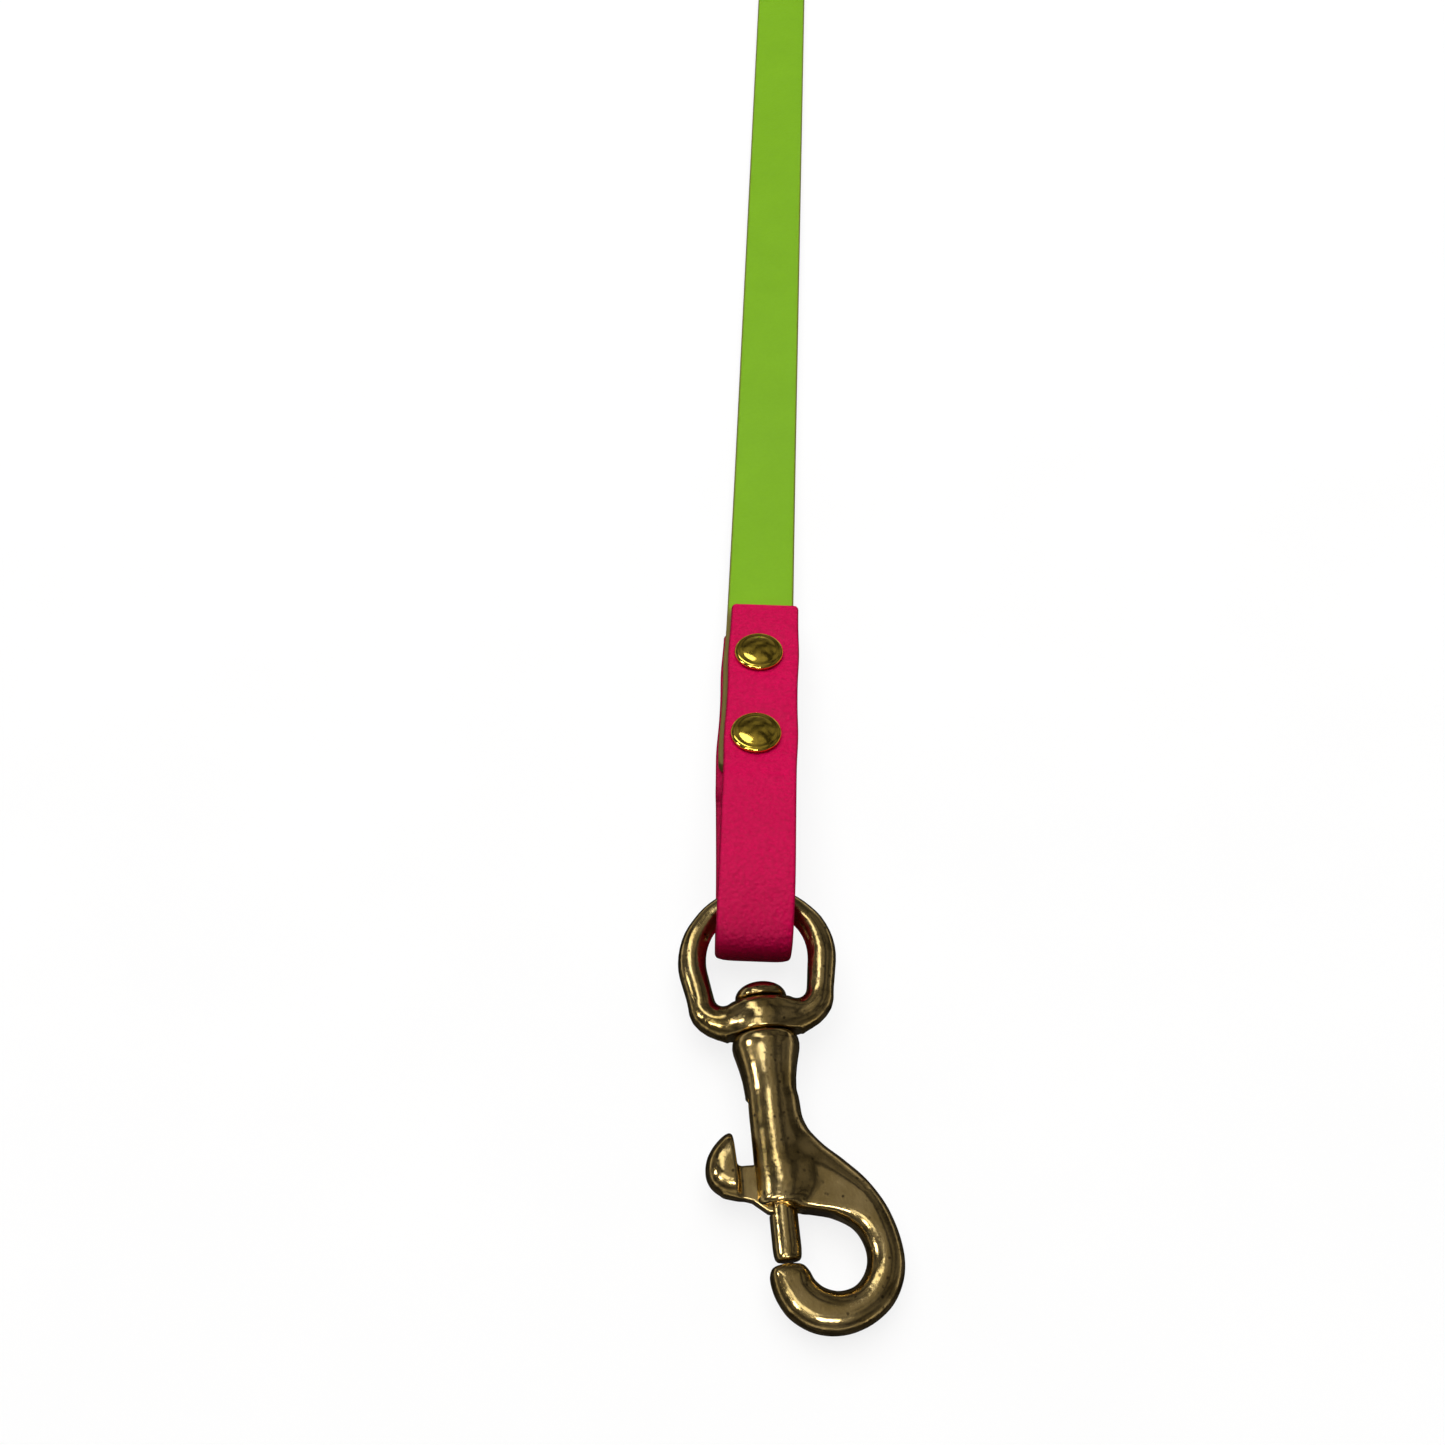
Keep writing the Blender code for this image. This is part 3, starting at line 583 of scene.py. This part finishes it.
def casting(name, field, low, high, matrix, material, step=0.25, crease=radians(60)):
    """A field's surface as a piece: its own lengths are millimetres, placed by the matrix."""
    points, faces = skin(field, low, high, step)
    points = settled(points, faces, field)
    return mesh_object(name, place(points, matrix), faces.tolist(), material, crease)


# ---------------------------------------------------------------- the bolt snap

BAR_TO_GAP = 59.7
BORE_R = 2.5
BOLT_R = BORE_R - GAP
WEB_HALF = 1.3
COLLAR_R = 5.5
HUB_TOP = 41.2
STUD_FOOT = 31.0
BOLT_TAIL = 17.0

BARREL_PROFILE = [  # radius, then length from the gap
    (0, 35.3), (4.6, 35.3), (5.15, 35.0), (5.4, 34.5), (5.5, 33.7), (5.4, 32.8), (5.05, 31.5),
    (4.7, 30.1), (4.35, 28.2), (4.15, 26.0), (4.15, 9.3), (3.9, 8.75), (3.5, 8.6), (0, 8.6),
]
HOOK_OUTLINE = [  # plan of the blade and hook, from the gap, clockwise from the barrel
    (0, 25.5), (3.5, 25.4), (4.35, 21.6), (6.9, 17.8), (10.4, 14.5), (13.6, 11.0), (16.1, 6.6),
    (17.4, 1.5), (17.1, -3.0), (15.0, -6.8), (11.4, -9.4), (7.0, -10.5), (2.8, -9.9), (-0.6, -7.7),
    (-2.4, -4.8), (-3.0, -2.2), (-2.7, -0.7), (-1.6, -0.15), (0.2, -0.05), (2.0, -0.3), (3.0, -1.3),
    (3.7, -2.6), (5.1, -3.8), (7.3, -4.4), (9.8, -3.7), (11.5, -1.5), (11.8, 1.2), (10.5, 4.2),
    (7.6, 6.3), (4.6, 7.2), (2.6, 7.6), (0, 9.4),
]
PAD_OUTLINE = [  # plan of the thumb pad, run on to the right, where its flat face cuts it off
    (-6.9, 20.2), (-9.2, 19.0), (-10.9, 16.7), (-11.4, 14.1), (-10.7, 12.1), (-8.9, 10.7), (-6.0, 10.1),
    (-3.0, 10.2), (-2.0, 14.0), (-3.8, 18.8),
]
WEB_OUTLINE = [(-1.2, 14.9), (-7.8, 14.9), (-8.8, 10.9), (-4.6, 9.5), (-2.3, 7.6), (-1.2, 7.5)]


def snap_frames():
    """The snap's and the eye's frames: X across, Y along the swivel's axis, lengths from the gap."""
    joints = {j["name"]: j for j in frame["joints"]}
    swivel = joints["snap_swivel"]
    y = Vector(swivel["axis"]).normalized()
    found = []
    for x in (y.cross(Vector((0, 0, 1))), Vector(joints["eye_swing"]["axis"])):
        x = (x - x.dot(y) * y).normalized()
        turn = Matrix((x, y, x.cross(y))).transposed().to_4x4()
        bar = Matrix.Translation(Vector(swivel["pos_m"]) / MM)
        found.append(bar @ turn @ Matrix.Translation((0, -BAR_TO_GAP, 0)))
    return found


def snap_body_field():
    """A turned barrel joined to a rounded plate, whose blade has an elliptical crown."""
    barrel = np.array(BARREL_PROFILE)
    outline = through(HOOK_OUTLINE, 5, closed=True)
    plate_half, plate_r, crown_reach, crown_half = 3.0, 2.85, 4.2, 2.9

    def field(x, y, z):
        r = np.hypot(x, z)
        turned = outline_distance(r, y, barrel)
        inner_wall = np.exp(-(((x - 5.5) / 5.5) ** 2) - ((y - 7.5) / 3.2) ** 2)
        tip = np.exp(-((x / 3.6) ** 2) - ((y + 0.2) / 2.0) ** 2)
        edge_r = plate_r - 1.75 * inner_wall - 1.5 * tip
        flat = outline_distance(x, y, outline)
        plate = extruded(flat, z, plate_half, edge_r)
        blade = eased(y, 5, 10) * (1 - inner_wall)
        from_top = np.maximum(crown_reach + flat - 6 * (1 - blade), 0) / crown_reach
        crown = crown_half * (np.hypot(from_top, z / plate_half) - 1)
        fillet = 1.5 + 1.8 * eased(y, 8.5, 11.5) * eased(-y, -18, -13.5)
        body = joined(turned, np.maximum(plate, crown), fillet)
        body = cut(body, np.maximum(r - BORE_R, 7.0 - y), 0.25)
        slot_half = WEB_HALF + GAP
        slot = box_distance(x, y, z, (-7, 0, -slot_half), (0, 25.2, slot_half))
        return cut(body, slot, 0.35) + 0.022 * unevenness(x, y, z, 1.0)

    return field


def eye_field():
    """A D of round bar, thicker at its lower corners, with a bored hub in its straight side."""
    ring_r, turn_r, bar_half, bar_y = 10.9, 5.0, 9.95, 38.0
    centre_y = BAR_TO_GAP - ring_r
    bow = [(ring_r * cos(radians(a)), centre_y + ring_r * sin(radians(a))) for a in range(-9, 190, 6)]
    left = [(-bar_half + turn_r * (1 + cos(radians(a))), bar_y + turn_r * (1 + sin(radians(a))))
            for a in range(188, 271, 12)]
    right = [(-x, y) for x, y in reversed(left)]
    path = [*bow, *left, *right, bow[0]]
    foot = 35.6
    hub = np.array([(0, HUB_TOP), (3.9, HUB_TOP), (4.7, 40.9), (5.2, 40.1), (5.3, 38.8), (5.25, 37.2),
                    (4.95, 36.1), (4.2, foot), (0, foot)])

    def field(x, y, z):
        swell = 0.4 * eased(-y, -42.5, -38.5) + 0.12 * eased(-y, -44, -39) * eased(-x, 2, 8)
        thick = 2.2 + 0.17 * np.exp(-(((y - 48.5) / 5) ** 2)) - 0.15 * eased(y, 54.5, 57.5) + swell
        wire = np.hypot(path_distance(x, y, path), z) - thick
        r = np.hypot(x, 1.12 * z)
        boss = outline_distance(r, y, hub)
        body = joined(wire, boss, 3.2)
        axis_r = np.hypot(x, z)
        seat = np.maximum(axis_r - (COLLAR_R + 2 * GAP), y - foot)
        body = cut(body, seat, 0.3)
        body = cut(body, axis_r - BORE_R, 0.3)
        return body + 0.02 * unevenness(x, y, z, 2.3)

    return field


def lever_field():
    """A domed thumb pad, cut flat on the barrel's side, and the web that joins it to the bolt."""
    pad_outline = through(PAD_OUTLINE, 6, closed=True)
    web_outline = np.array(WEB_OUTLINE)
    pad_half, pad_r, face_x, face_bend = 3.3, 3.1, -6.35, 0.006

    def field(x, y, z):
        pad = extruded(outline_distance(x, y, pad_outline), z, pad_half, pad_r)
        face = x - face_x + face_bend * np.maximum(0, y - 12) ** 2
        pad = -joined(-pad, -face, 0.7)
        web = extruded(outline_distance(x, y, web_outline), z, WEB_HALF, 0.35)
        return joined(pad, web, 0.9) + 0.03 * unevenness(x, y, z, 4.1)

    return field


def bolt_field():
    """A round bolt, grooved at its side for the lever's web."""
    profile = np.array([(0, BOLT_TAIL), (BOLT_R - 0.3, BOLT_TAIL), (BOLT_R, BOLT_TAIL - 0.3), (BOLT_R, 2.2),
                        (BOLT_R - 0.08, 1.3), (BOLT_R - 0.2, 0.8), (BOLT_R - 0.5, 0.45), (0, 0.4)])

    def field(x, y, z):
        rod = outline_distance(np.hypot(x, z), y, profile)
        half = WEB_HALF + GAP
        groove = box_distance(x, y, z, (-4, 7.3, -half), (-0.9, 15.2, half))
        return cut(rod, groove, 0.2) + 0.012 * unevenness(x, y, z, 5.2)

    return field


def build_snap(brass, steel):
    snap, eye = snap_frames()
    body = casting("snap_body_cast", snap_body_field(), (-6.6, -12.2, -6.6), (19, 36.6, 6.6), snap, brass)
    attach(body, "snap")
    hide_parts("snap_body")
    ring = casting("swivel_eye_cast", eye_field(), (-15, 33.6, -6.8), (15, 63.4, 6.8), eye, brass)
    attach(ring, "eye")
    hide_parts("swivel_eye")
    lever = casting("thumb_lever_cast", lever_field(), (-12.2, 6.2, -4.2), (-0.2, 21, 4.2), snap, brass,
                    step=0.2)
    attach(lever, "bolt")
    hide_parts("thumb_lever")
    bolt = casting("bolt_turned", bolt_field(), (-2.9, -0.4, -2.9), (2.9, 18, 2.9), snap, brass, step=0.2)
    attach(bolt, "bolt")
    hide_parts("bolt")
    build_stud(snap, brass)
    build_spring(snap, steel)


def build_stud(snap, brass):
    """The swivel stud: a domed head that sits in the eye's hub, and its shank."""
    head = HUB_TOP + GAP
    rise, head_r = 2.9, 4.25
    dome = [(head_r * sin(radians(a)) ** 0.9, head + 0.35 + (rise - 0.35) * cos(radians(a)))
            for a in range(4, 91, 5)]
    profile = [*dome, (head_r, head + 0.25), (head_r - 0.12, head + 0.06), (head_r - 0.4, head),
               (BOLT_R, head), (BOLT_R, STUD_FOOT + 0.3), (BOLT_R - 0.3, STUD_FOOT)]
    points, faces = lathe(profile, 64)
    stand = Matrix.Rotation(-pi / 2, 4, "X")
    stud = mesh_object("swivel_stud_turned", place(points, snap @ stand), faces, brass, radians(50))
    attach(stud, "snap")
    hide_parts("swivel_stud")


def build_spring(snap, steel):
    """The return spring, with closed end coils, between the bolt's tail and the stud's foot."""
    turns, coil_r, wire_r = 7, 1.75, 0.28
    low, high = BOLT_TAIL + GAP + wire_r, STUD_FOOT - GAP - wire_r
    per_turn, sides = 28, 10
    t = np.linspace(0, 1, turns * per_turn + 1)
    flat, flat_rise = 0.75 / turns, 0.04
    rise = (1 - 2 * flat_rise) * np.clip((t - flat) / (1 - 2 * flat), 0, 1)
    rise += flat_rise * (np.clip(t / flat, 0, 1) + np.clip((t - 1 + flat) / flat, 0, 1))
    angle = 2 * pi * turns * t
    line = np.stack([coil_r * np.cos(angle), low + (high - low) * rise, coil_r * np.sin(angle)], axis=1)
    ahead = np.gradient(line, axis=0)
    ahead /= np.linalg.norm(ahead, axis=1)[:, None]
    out = np.stack([np.cos(angle), 0 * angle, np.sin(angle)], axis=1)
    side = np.cross(ahead, out)
    ring = 2 * pi * np.arange(sides) / sides
    points = line[:, None] + wire_r * (np.cos(ring)[None, :, None] * out[:, None]
                                       + np.sin(ring)[None, :, None] * side[:, None])
    rows = len(line)
    faces = [f[::-1] for f in grid_faces(rows, sides)]
    faces.append(list(range(sides)))
    faces.append(list(range(rows * sides - 1, (rows - 1) * sides - 1, -1)))
    spring = mesh_object("return_spring_coiled", place(points.reshape(-1, 3), snap), faces, steel)
    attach(spring, "snap")
    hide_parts("return_spring")
    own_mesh(spring)


# ---------------------------------------------------------------- rivets

CAP_R = 4.6
POST_R = 1.6
STACK_HALF = LAYER + STRAP_THICK / 2
CAP_HEIGHT = 1.75
CAP_CROWN = 0.8
CAP_SHOULDER = 0.76  # where the crown ends and the rolled edge begins, as a share of the radius


def cap_profile():
    """A rolled rivet cap from its middle to its rim and back under: (radius, height) pairs."""
    face = STACK_HALF - 0.05
    top, rim = face + CAP_HEIGHT, face + 0.3
    crown_r = CAP_SHOULDER * CAP_R
    dome = [(crown_r * k / 8, top - CAP_CROWN * (k / 8) ** 2) for k in range(1, 9)]
    edge = [(crown_r + (CAP_R - crown_r) * sin(radians(a)), rim + (top - CAP_CROWN - rim) * cos(radians(a)))
            for a in range(12, 91, 13)]
    return [*dome, *edge, (CAP_R - 0.05, face + 0.12), (CAP_R - 0.25, face), (CAP_R - 0.9, face)]


def build_rivet(name, matrix, brass):
    """A double-cap rivet: the front cap, and the post with the back cap."""
    front = [*cap_profile(), (CAP_R - 1.0, STACK_HALF + 0.3)]
    back = [(r, -z) for r, z in reversed(cap_profile())]
    post = [(POST_R - 0.2, STACK_HALF + 0.2), (POST_R, STACK_HALF), (POST_R, -STACK_HALF + 0.05), *back]
    for part, profile in (("cap", front), ("post", post)):
        points, faces = lathe(profile, 56)
        made = mesh_object(f"{name}_{part}_rolled", place(points, matrix), faces, brass, radians(40))
        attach(made, "root")
        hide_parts(f"{name}_{part}")


def build_rivets(brass):
    for number in (1, 2):
        back = RIVET_FROM_EDGE + (number - 1) * RIVET_PITCH
        at = Matrix.Translation(joint_point(JOINT_EDGE_Y - back))
        build_rivet(f"loop_rivet_{number}", at @ Matrix.Rotation(-LEAN, 4, "X"), brass)
        at = handle_frame() @ Matrix.Translation((0, back, 0))
        build_rivet(f"handle_rivet_{number}", at @ Matrix.Rotation(pi / 2, 4, "Y"), brass)


# ---------------------------------------------------------------- materials


class Look:
    """A material's nodes, with short calls for the ones used here. Texture sizes are in millimetres."""

    def __init__(self, name):
        self.mat = bpy.data.materials.new(name)
        self.mat.use_nodes = True
        self.nodes, self.links = self.mat.node_tree.nodes, self.mat.node_tree.links
        self.shader = self.nodes["Principled BSDF"]
        self.where = self.nodes.new("ShaderNodeTexCoord").outputs["Object"]

    def link(self, start, end):
        self.links.new(start, end)

    def noise(self, size, detail=3.0, roughness=0.55, stretch=None):
        node = self.nodes.new("ShaderNodeTexNoise")
        node.inputs["Scale"].default_value = 1 / (size * MM)
        node.inputs["Detail"].default_value = detail
        node.inputs["Roughness"].default_value = roughness
        self.link(self.stretched(stretch), node.inputs["Vector"])
        return node.outputs["Fac"]

    def cells(self, size, feature="SMOOTH_F1"):
        node = self.nodes.new("ShaderNodeTexVoronoi")
        node.feature = feature
        node.inputs["Scale"].default_value = 1 / (size * MM)
        self.link(self.where, node.inputs["Vector"])
        return node.outputs["Distance"]

    def stretched(self, stretch):
        if not stretch:
            return self.where
        node = self.nodes.new("ShaderNodeMapping")
        node.inputs["Scale"].default_value = stretch
        self.link(self.where, node.inputs["Vector"])
        return node.outputs["Vector"]

    def range(self, value, low, high, to_low, to_high):
        node = self.nodes.new("ShaderNodeMapRange")
        for key, number in zip(("From Min", "From Max", "To Min", "To Max"), (low, high, to_low, to_high)):
            node.inputs[key].default_value = number
        self.link(value, node.inputs["Value"])
        return node.outputs["Result"]

    def blend(self, share, a, b):
        """A colour from a to b; either may be a colour or another node's output."""
        node = self.nodes.new("ShaderNodeMix")
        node.data_type = "RGBA"
        self.link(share, node.inputs["Factor"])
        for key, colour in (("A", a), ("B", b)):
            socket = next(i for i in node.inputs if i.name == key and i.type == "RGBA")
            if isinstance(colour, tuple):
                socket.default_value = (*colour, 1)
            else:
                self.link(colour, socket)
        return next(o for o in node.outputs if o.type == "RGBA")

    def bump(self, height, depth, strength=1.0, over=None):
        node = self.nodes.new("ShaderNodeBump")
        node.inputs["Distance"].default_value = depth * MM
        node.inputs["Strength"].default_value = strength
        self.link(height, node.inputs["Height"])
        if over:
            self.link(over, node.inputs["Normal"])
        return node.outputs["Normal"]

    def attribute(self, name):
        node = self.nodes.new("ShaderNodeAttribute")
        node.attribute_name = name
        return node.outputs["Fac"]

    def set(self, **values):
        for key, value in values.items():
            self.shader.inputs[key.replace("_", " ")].default_value = value


def coated_strap(name, colour, deep, edge_shade, grain, wrinkle, gloss):
    """Webbing in a soft plastic coat: a fine pebbled grain, faint wrinkles, and painted shade at the sides.
    """
    look = Look(name)
    tone = look.range(look.noise(9, 4), 0.3, 0.7, 0, 1)
    pebbles = look.cells(0.62)
    hollow = look.range(pebbles, 0.3, 0.7, 0, min(1, 2.8 * grain))
    shaded = tuple(0.72 * c for c in deep)
    face = look.blend(hollow, look.blend(tone, colour, deep), shaded)
    # painted shade: where "side" marks the strap, its face colour gives way to the darker shade colour
    look.link(look.blend(look.attribute("side"), face, edge_shade), look.shader.inputs["Base Color"])
    look.link(look.range(look.noise(2.5, 3), 0.3, 0.7, 0.36, 0.48), look.shader.inputs["Roughness"])
    pebble = look.bump(pebbles, grain)
    folds = look.bump(look.noise(1.9, 5, 0.65), wrinkle, over=pebble)
    look.link(look.bump(look.noise(0.16, 2), grain * 0.25, over=folds), look.shader.inputs["Normal"])
    look.set(Specular_IOR_Level=gloss)
    return look.mat


def polished_brass(name, colour, dark, rough, wobble, pitted):
    """Brass with a worn polish: uneven gloss, fine rubbing marks, a little tarnish and some pits."""
    look = Look(name)
    tone = look.range(look.noise(5, 4), 0.35, 0.75, 0, 1)
    spots = look.range(look.cells(1.3, "F1"), 0.12, 0.26, pitted, 0)
    pits = look.blend(look.range(look.noise(2.2, 3), 0.44, 0.54, 0, 1), (0, 0, 0), spots)
    tarnish = tuple(0.2 * c for c in dark)
    face = look.blend(pits, look.blend(tone, colour, dark), tarnish)
    look.link(face, look.shader.inputs["Base Color"])
    gloss = look.noise(1.6, 5, 0.65)
    look.link(look.range(gloss, 0.3, 0.75, rough[0], rough[1]), look.shader.inputs["Roughness"])
    waves = look.bump(look.noise(1.5, 2), wobble)
    marks = look.bump(look.noise(0.3, 3, stretch=(1, 0.15, 1)), 0.008, over=waves)
    look.link(look.bump(look.noise(0.5, 3), 0.012, over=marks), look.shader.inputs["Normal"])
    look.set(Metallic=1.0)
    return look.mat


def spring_wire():
    look = Look("spring_wire")
    tone = look.range(look.noise(0.8, 3), 0.3, 0.7, 0, 1)
    grey = look.blend(tone, (0.50, 0.50, 0.51), (0.36, 0.36, 0.38))
    look.link(grey, look.shader.inputs["Base Color"])
    look.link(look.range(look.noise(0.4, 3), 0.3, 0.7, 0.22, 0.4), look.shader.inputs["Roughness"])
    look.set(Metallic=1.0)
    return look.mat


def woven_band():
    look = Look("woven_band")
    fibres = look.noise(0.12, 3, stretch=(0.2, 1, 1))
    tone = look.range(fibres, 0.3, 0.7, 0, 1)
    black = look.blend(tone, (0.016, 0.016, 0.018), (0.035, 0.035, 0.037))
    look.link(black, look.shader.inputs["Base Color"])
    look.link(look.bump(fibres, 0.05), look.shader.inputs["Normal"])
    look.set(Roughness=0.85)
    return look.mat


# ---------------------------------------------------------------- floor and lights


def build_floor():
    """A pale floor that mostly glows, and a bowl far away that carries it on behind the leash."""
    look = Look("pale_floor")
    tone = look.range(look.noise(40, 2), 0.3, 0.7, 0, 1)
    look.link(look.blend(tone, (0.17, 0.17, 0.17), (0.16, 0.16, 0.16)), look.shader.inputs["Base Color"])
    look.set(Roughness=0.9, Specular_IOR_Level=0, Emission_Color=(1, 1, 1, 1), Emission_Strength=0.84)
    half = FLOOR_HALF
    corners = [(x, y, FLOOR_Z) for x, y in ((-half, -half), (half, -half), (half, half), (-half, half))]
    floor = mesh_object("floor", corners, [(0, 1, 2, 3)], look.mat)
    curve = [(sin(radians(a)), 1 - cos(radians(a))) for a in range(0, 91, 9)]
    profile = [(half - BACKDROP_TURN * (1 - x), BACKDROP_TURN * z + FLOOR_Z - 0.1) for x, z in curve]
    points, faces = lathe([*profile, (half, half)], 64)
    backdrop = mesh_object("backdrop", points, [f[::-1] for f in faces], look.mat, radians(60))
    backdrop.visible_shadow = False
    for piece in (floor, backdrop):
        piece.visible_glossy = False
        piece.visible_diffuse = False


def softbox(name, at, size, brightness, colour=(1, 1, 1), for_gloss=True):
    """A rectangular light that faces the snap: seen in the metal, or lighting the matte surfaces."""
    data = bpy.data.lights.new(name, "AREA")
    data.shape = "RECTANGLE"
    data.size, data.size_y = size
    data.energy = brightness * pi * size[0] * size[1]
    data.color = colour
    lamp = bpy.data.objects.new(name, data)
    lamp.location = at
    lamp.rotation_euler = (LIGHT_AIM - Vector(at)).to_track_quat("-Z", "Y").to_euler()
    lamp.visible_glossy = for_gloss
    lamp.visible_diffuse = not for_gloss
    bpy.context.scene.collection.objects.link(lamp)


def window(name, toward, away, pane, columns, rows, brightness, colour=(1, 0.97, 0.92)):
    """A window of small bright panes in a direction from the snap, seen only as highlights."""
    toward = Vector(toward).normalized()
    turn = (-toward).to_track_quat("-Z", "Y")
    for column in range(columns):
        for row in range(rows):
            aside = turn @ Vector((column - (columns - 1) / 2, row - (rows - 1) / 2, 0))
            at = LIGHT_AIM + toward * away + aside * pane * WINDOW_PITCH
            softbox(f"{name}_{column}_{row}", at, (pane, pane), brightness, colour)


def build_world():
    """A dim, patchy room with a lighter band just under the horizon, like a table's far side."""
    world = bpy.data.worlds.new("studio")
    bpy.context.scene.world = world
    world.use_nodes = True
    nodes, links = world.node_tree.nodes, world.node_tree.links
    where = nodes.new("ShaderNodeTexCoord").outputs["Generated"]
    parts = nodes.new("ShaderNodeSeparateXYZ")
    links.new(where, parts.inputs["Vector"])
    height = nodes.new("ShaderNodeMapRange")
    height.inputs["From Min"].default_value = -1
    links.new(parts.outputs["Z"], height.inputs["Value"])
    ramp = nodes.new("ShaderNodeValToRGB")
    links.new(height.outputs["Result"], ramp.inputs["Fac"])
    stops = [(-0.35, 0.03), (-0.2, 0.06), (-0.11, 0.55), (-0.04, 0.5), (0.04, 0.12), (0.3, 0.067),
             (0.6, 0.118), (0.85, 0.08), (1.0, 0.2)]
    elements = ramp.color_ramp.elements
    while len(elements) < len(stops):
        elements.new(0.5)
    warm = (1, 0.93, 0.84)
    for element, (z, value) in zip(elements, stops):
        element.position = (z + 1) / 2
        element.color = (*(value * c for c in warm), 1)
    links.new(ramp.outputs["Color"], nodes["Background"].inputs["Color"])
    clutter = nodes.new("ShaderNodeTexNoise")
    clutter.inputs["Scale"].default_value = 3.5
    links.new(where, clutter.inputs["Vector"])
    patches = nodes.new("ShaderNodeMapRange")
    for key, number in zip(("From Min", "From Max", "To Min", "To Max"), (0.38, 0.62, 0.3, 1.7)):
        patches.inputs[key].default_value = number
    links.new(clutter.outputs["Fac"], patches.inputs["Value"])
    links.new(patches.outputs["Result"], nodes["Background"].inputs["Strength"])


def build_studio():
    build_world()
    softbox("overhead", (-0.1, 0.45, 1.5), (1.8, 1.8), 3.05, for_gloss=False)
    softbox("fill_behind", (0.3, 2.3, 0.8), (1.5, 1.0), 1.2, for_gloss=False)
    softbox("fill_left", (-2.2, 0.2, 0.6), (1.2, 0.8), 0.8, for_gloss=False)
    softbox("fill_right", (2.2, 0.2, 0.6), (1.2, 0.8), 0.8, for_gloss=False)
    softbox("ceiling_left", (-0.60, 0.36, 1.25), (0.30, 1.0), 2.6)
    softbox("skylight", (-0.32, -0.55, 1.1), (0.5, 0.35), 2.2)
    window("window_front", (0.0, -0.69, 0.72), 1.2, 0.09, 3, 2, 20)
    window("window_front_left", (-0.5, -0.5, 0.70), 1.2, 0.09, 2, 2, 20)
    window("window_left", (-0.86, -0.1, 0.52), 1.2, 0.10, 2, 2, 18)
    bpy.context.scene.view_settings.view_transform = "Standard"


# ---------------------------------------------------------------- the whole leash


def main():
    build_camera()
    # the darker side colours given here are painted shade for the straps' sides and the lime strap's tucked
    # edges
    lime = coated_strap("coated_lime", colour=(0.212, 0.463, 0.007), deep=(0.198, 0.435, 0.006),
                        edge_shade=(0.19, 0.15, 0.035), grain=0.03, wrinkle=0.04, gloss=0.2)
    pink = coated_strap("coated_pink", colour=(0.635, 0.001, 0.080), deep=(0.59, 0.001, 0.071),
                        edge_shade=(0.34, 0.002, 0.04), grain=0.16, wrinkle=0.25, gloss=0.07)
    cast_brass = polished_brass("cast_brass_polished", colour=(0.62, 0.47, 0.21), dark=(0.42, 0.30, 0.10),
                                rough=(0.11, 0.25), wobble=0.035, pitted=0.8)
    rivet_brass = polished_brass("rivet_brass_polished", colour=(0.90, 0.67, 0.10), dark=(0.82, 0.59, 0.08),
                                 rough=(0.06, 0.14), wobble=0.012, pitted=0.0)
    steel = spring_wire()
    band = woven_band()

    main_strap, middle, length = build_main_strap(lime)
    tie = build_tie(band)
    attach(main_strap, "root")
    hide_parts("main_strap", "hank", "strap_tail")
    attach(tie, "root")
    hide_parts("hank_tie")

    loop = build_loop_strap(pink)
    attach(loop, "root")
    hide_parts("loop_strap")
    handle = build_handle_strap(pink)
    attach(handle, "root")
    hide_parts("handle_strap")
    build_snap(cast_brass, steel)
    build_rivets(rivet_brass)
    build_floor()
    build_studio()


main()
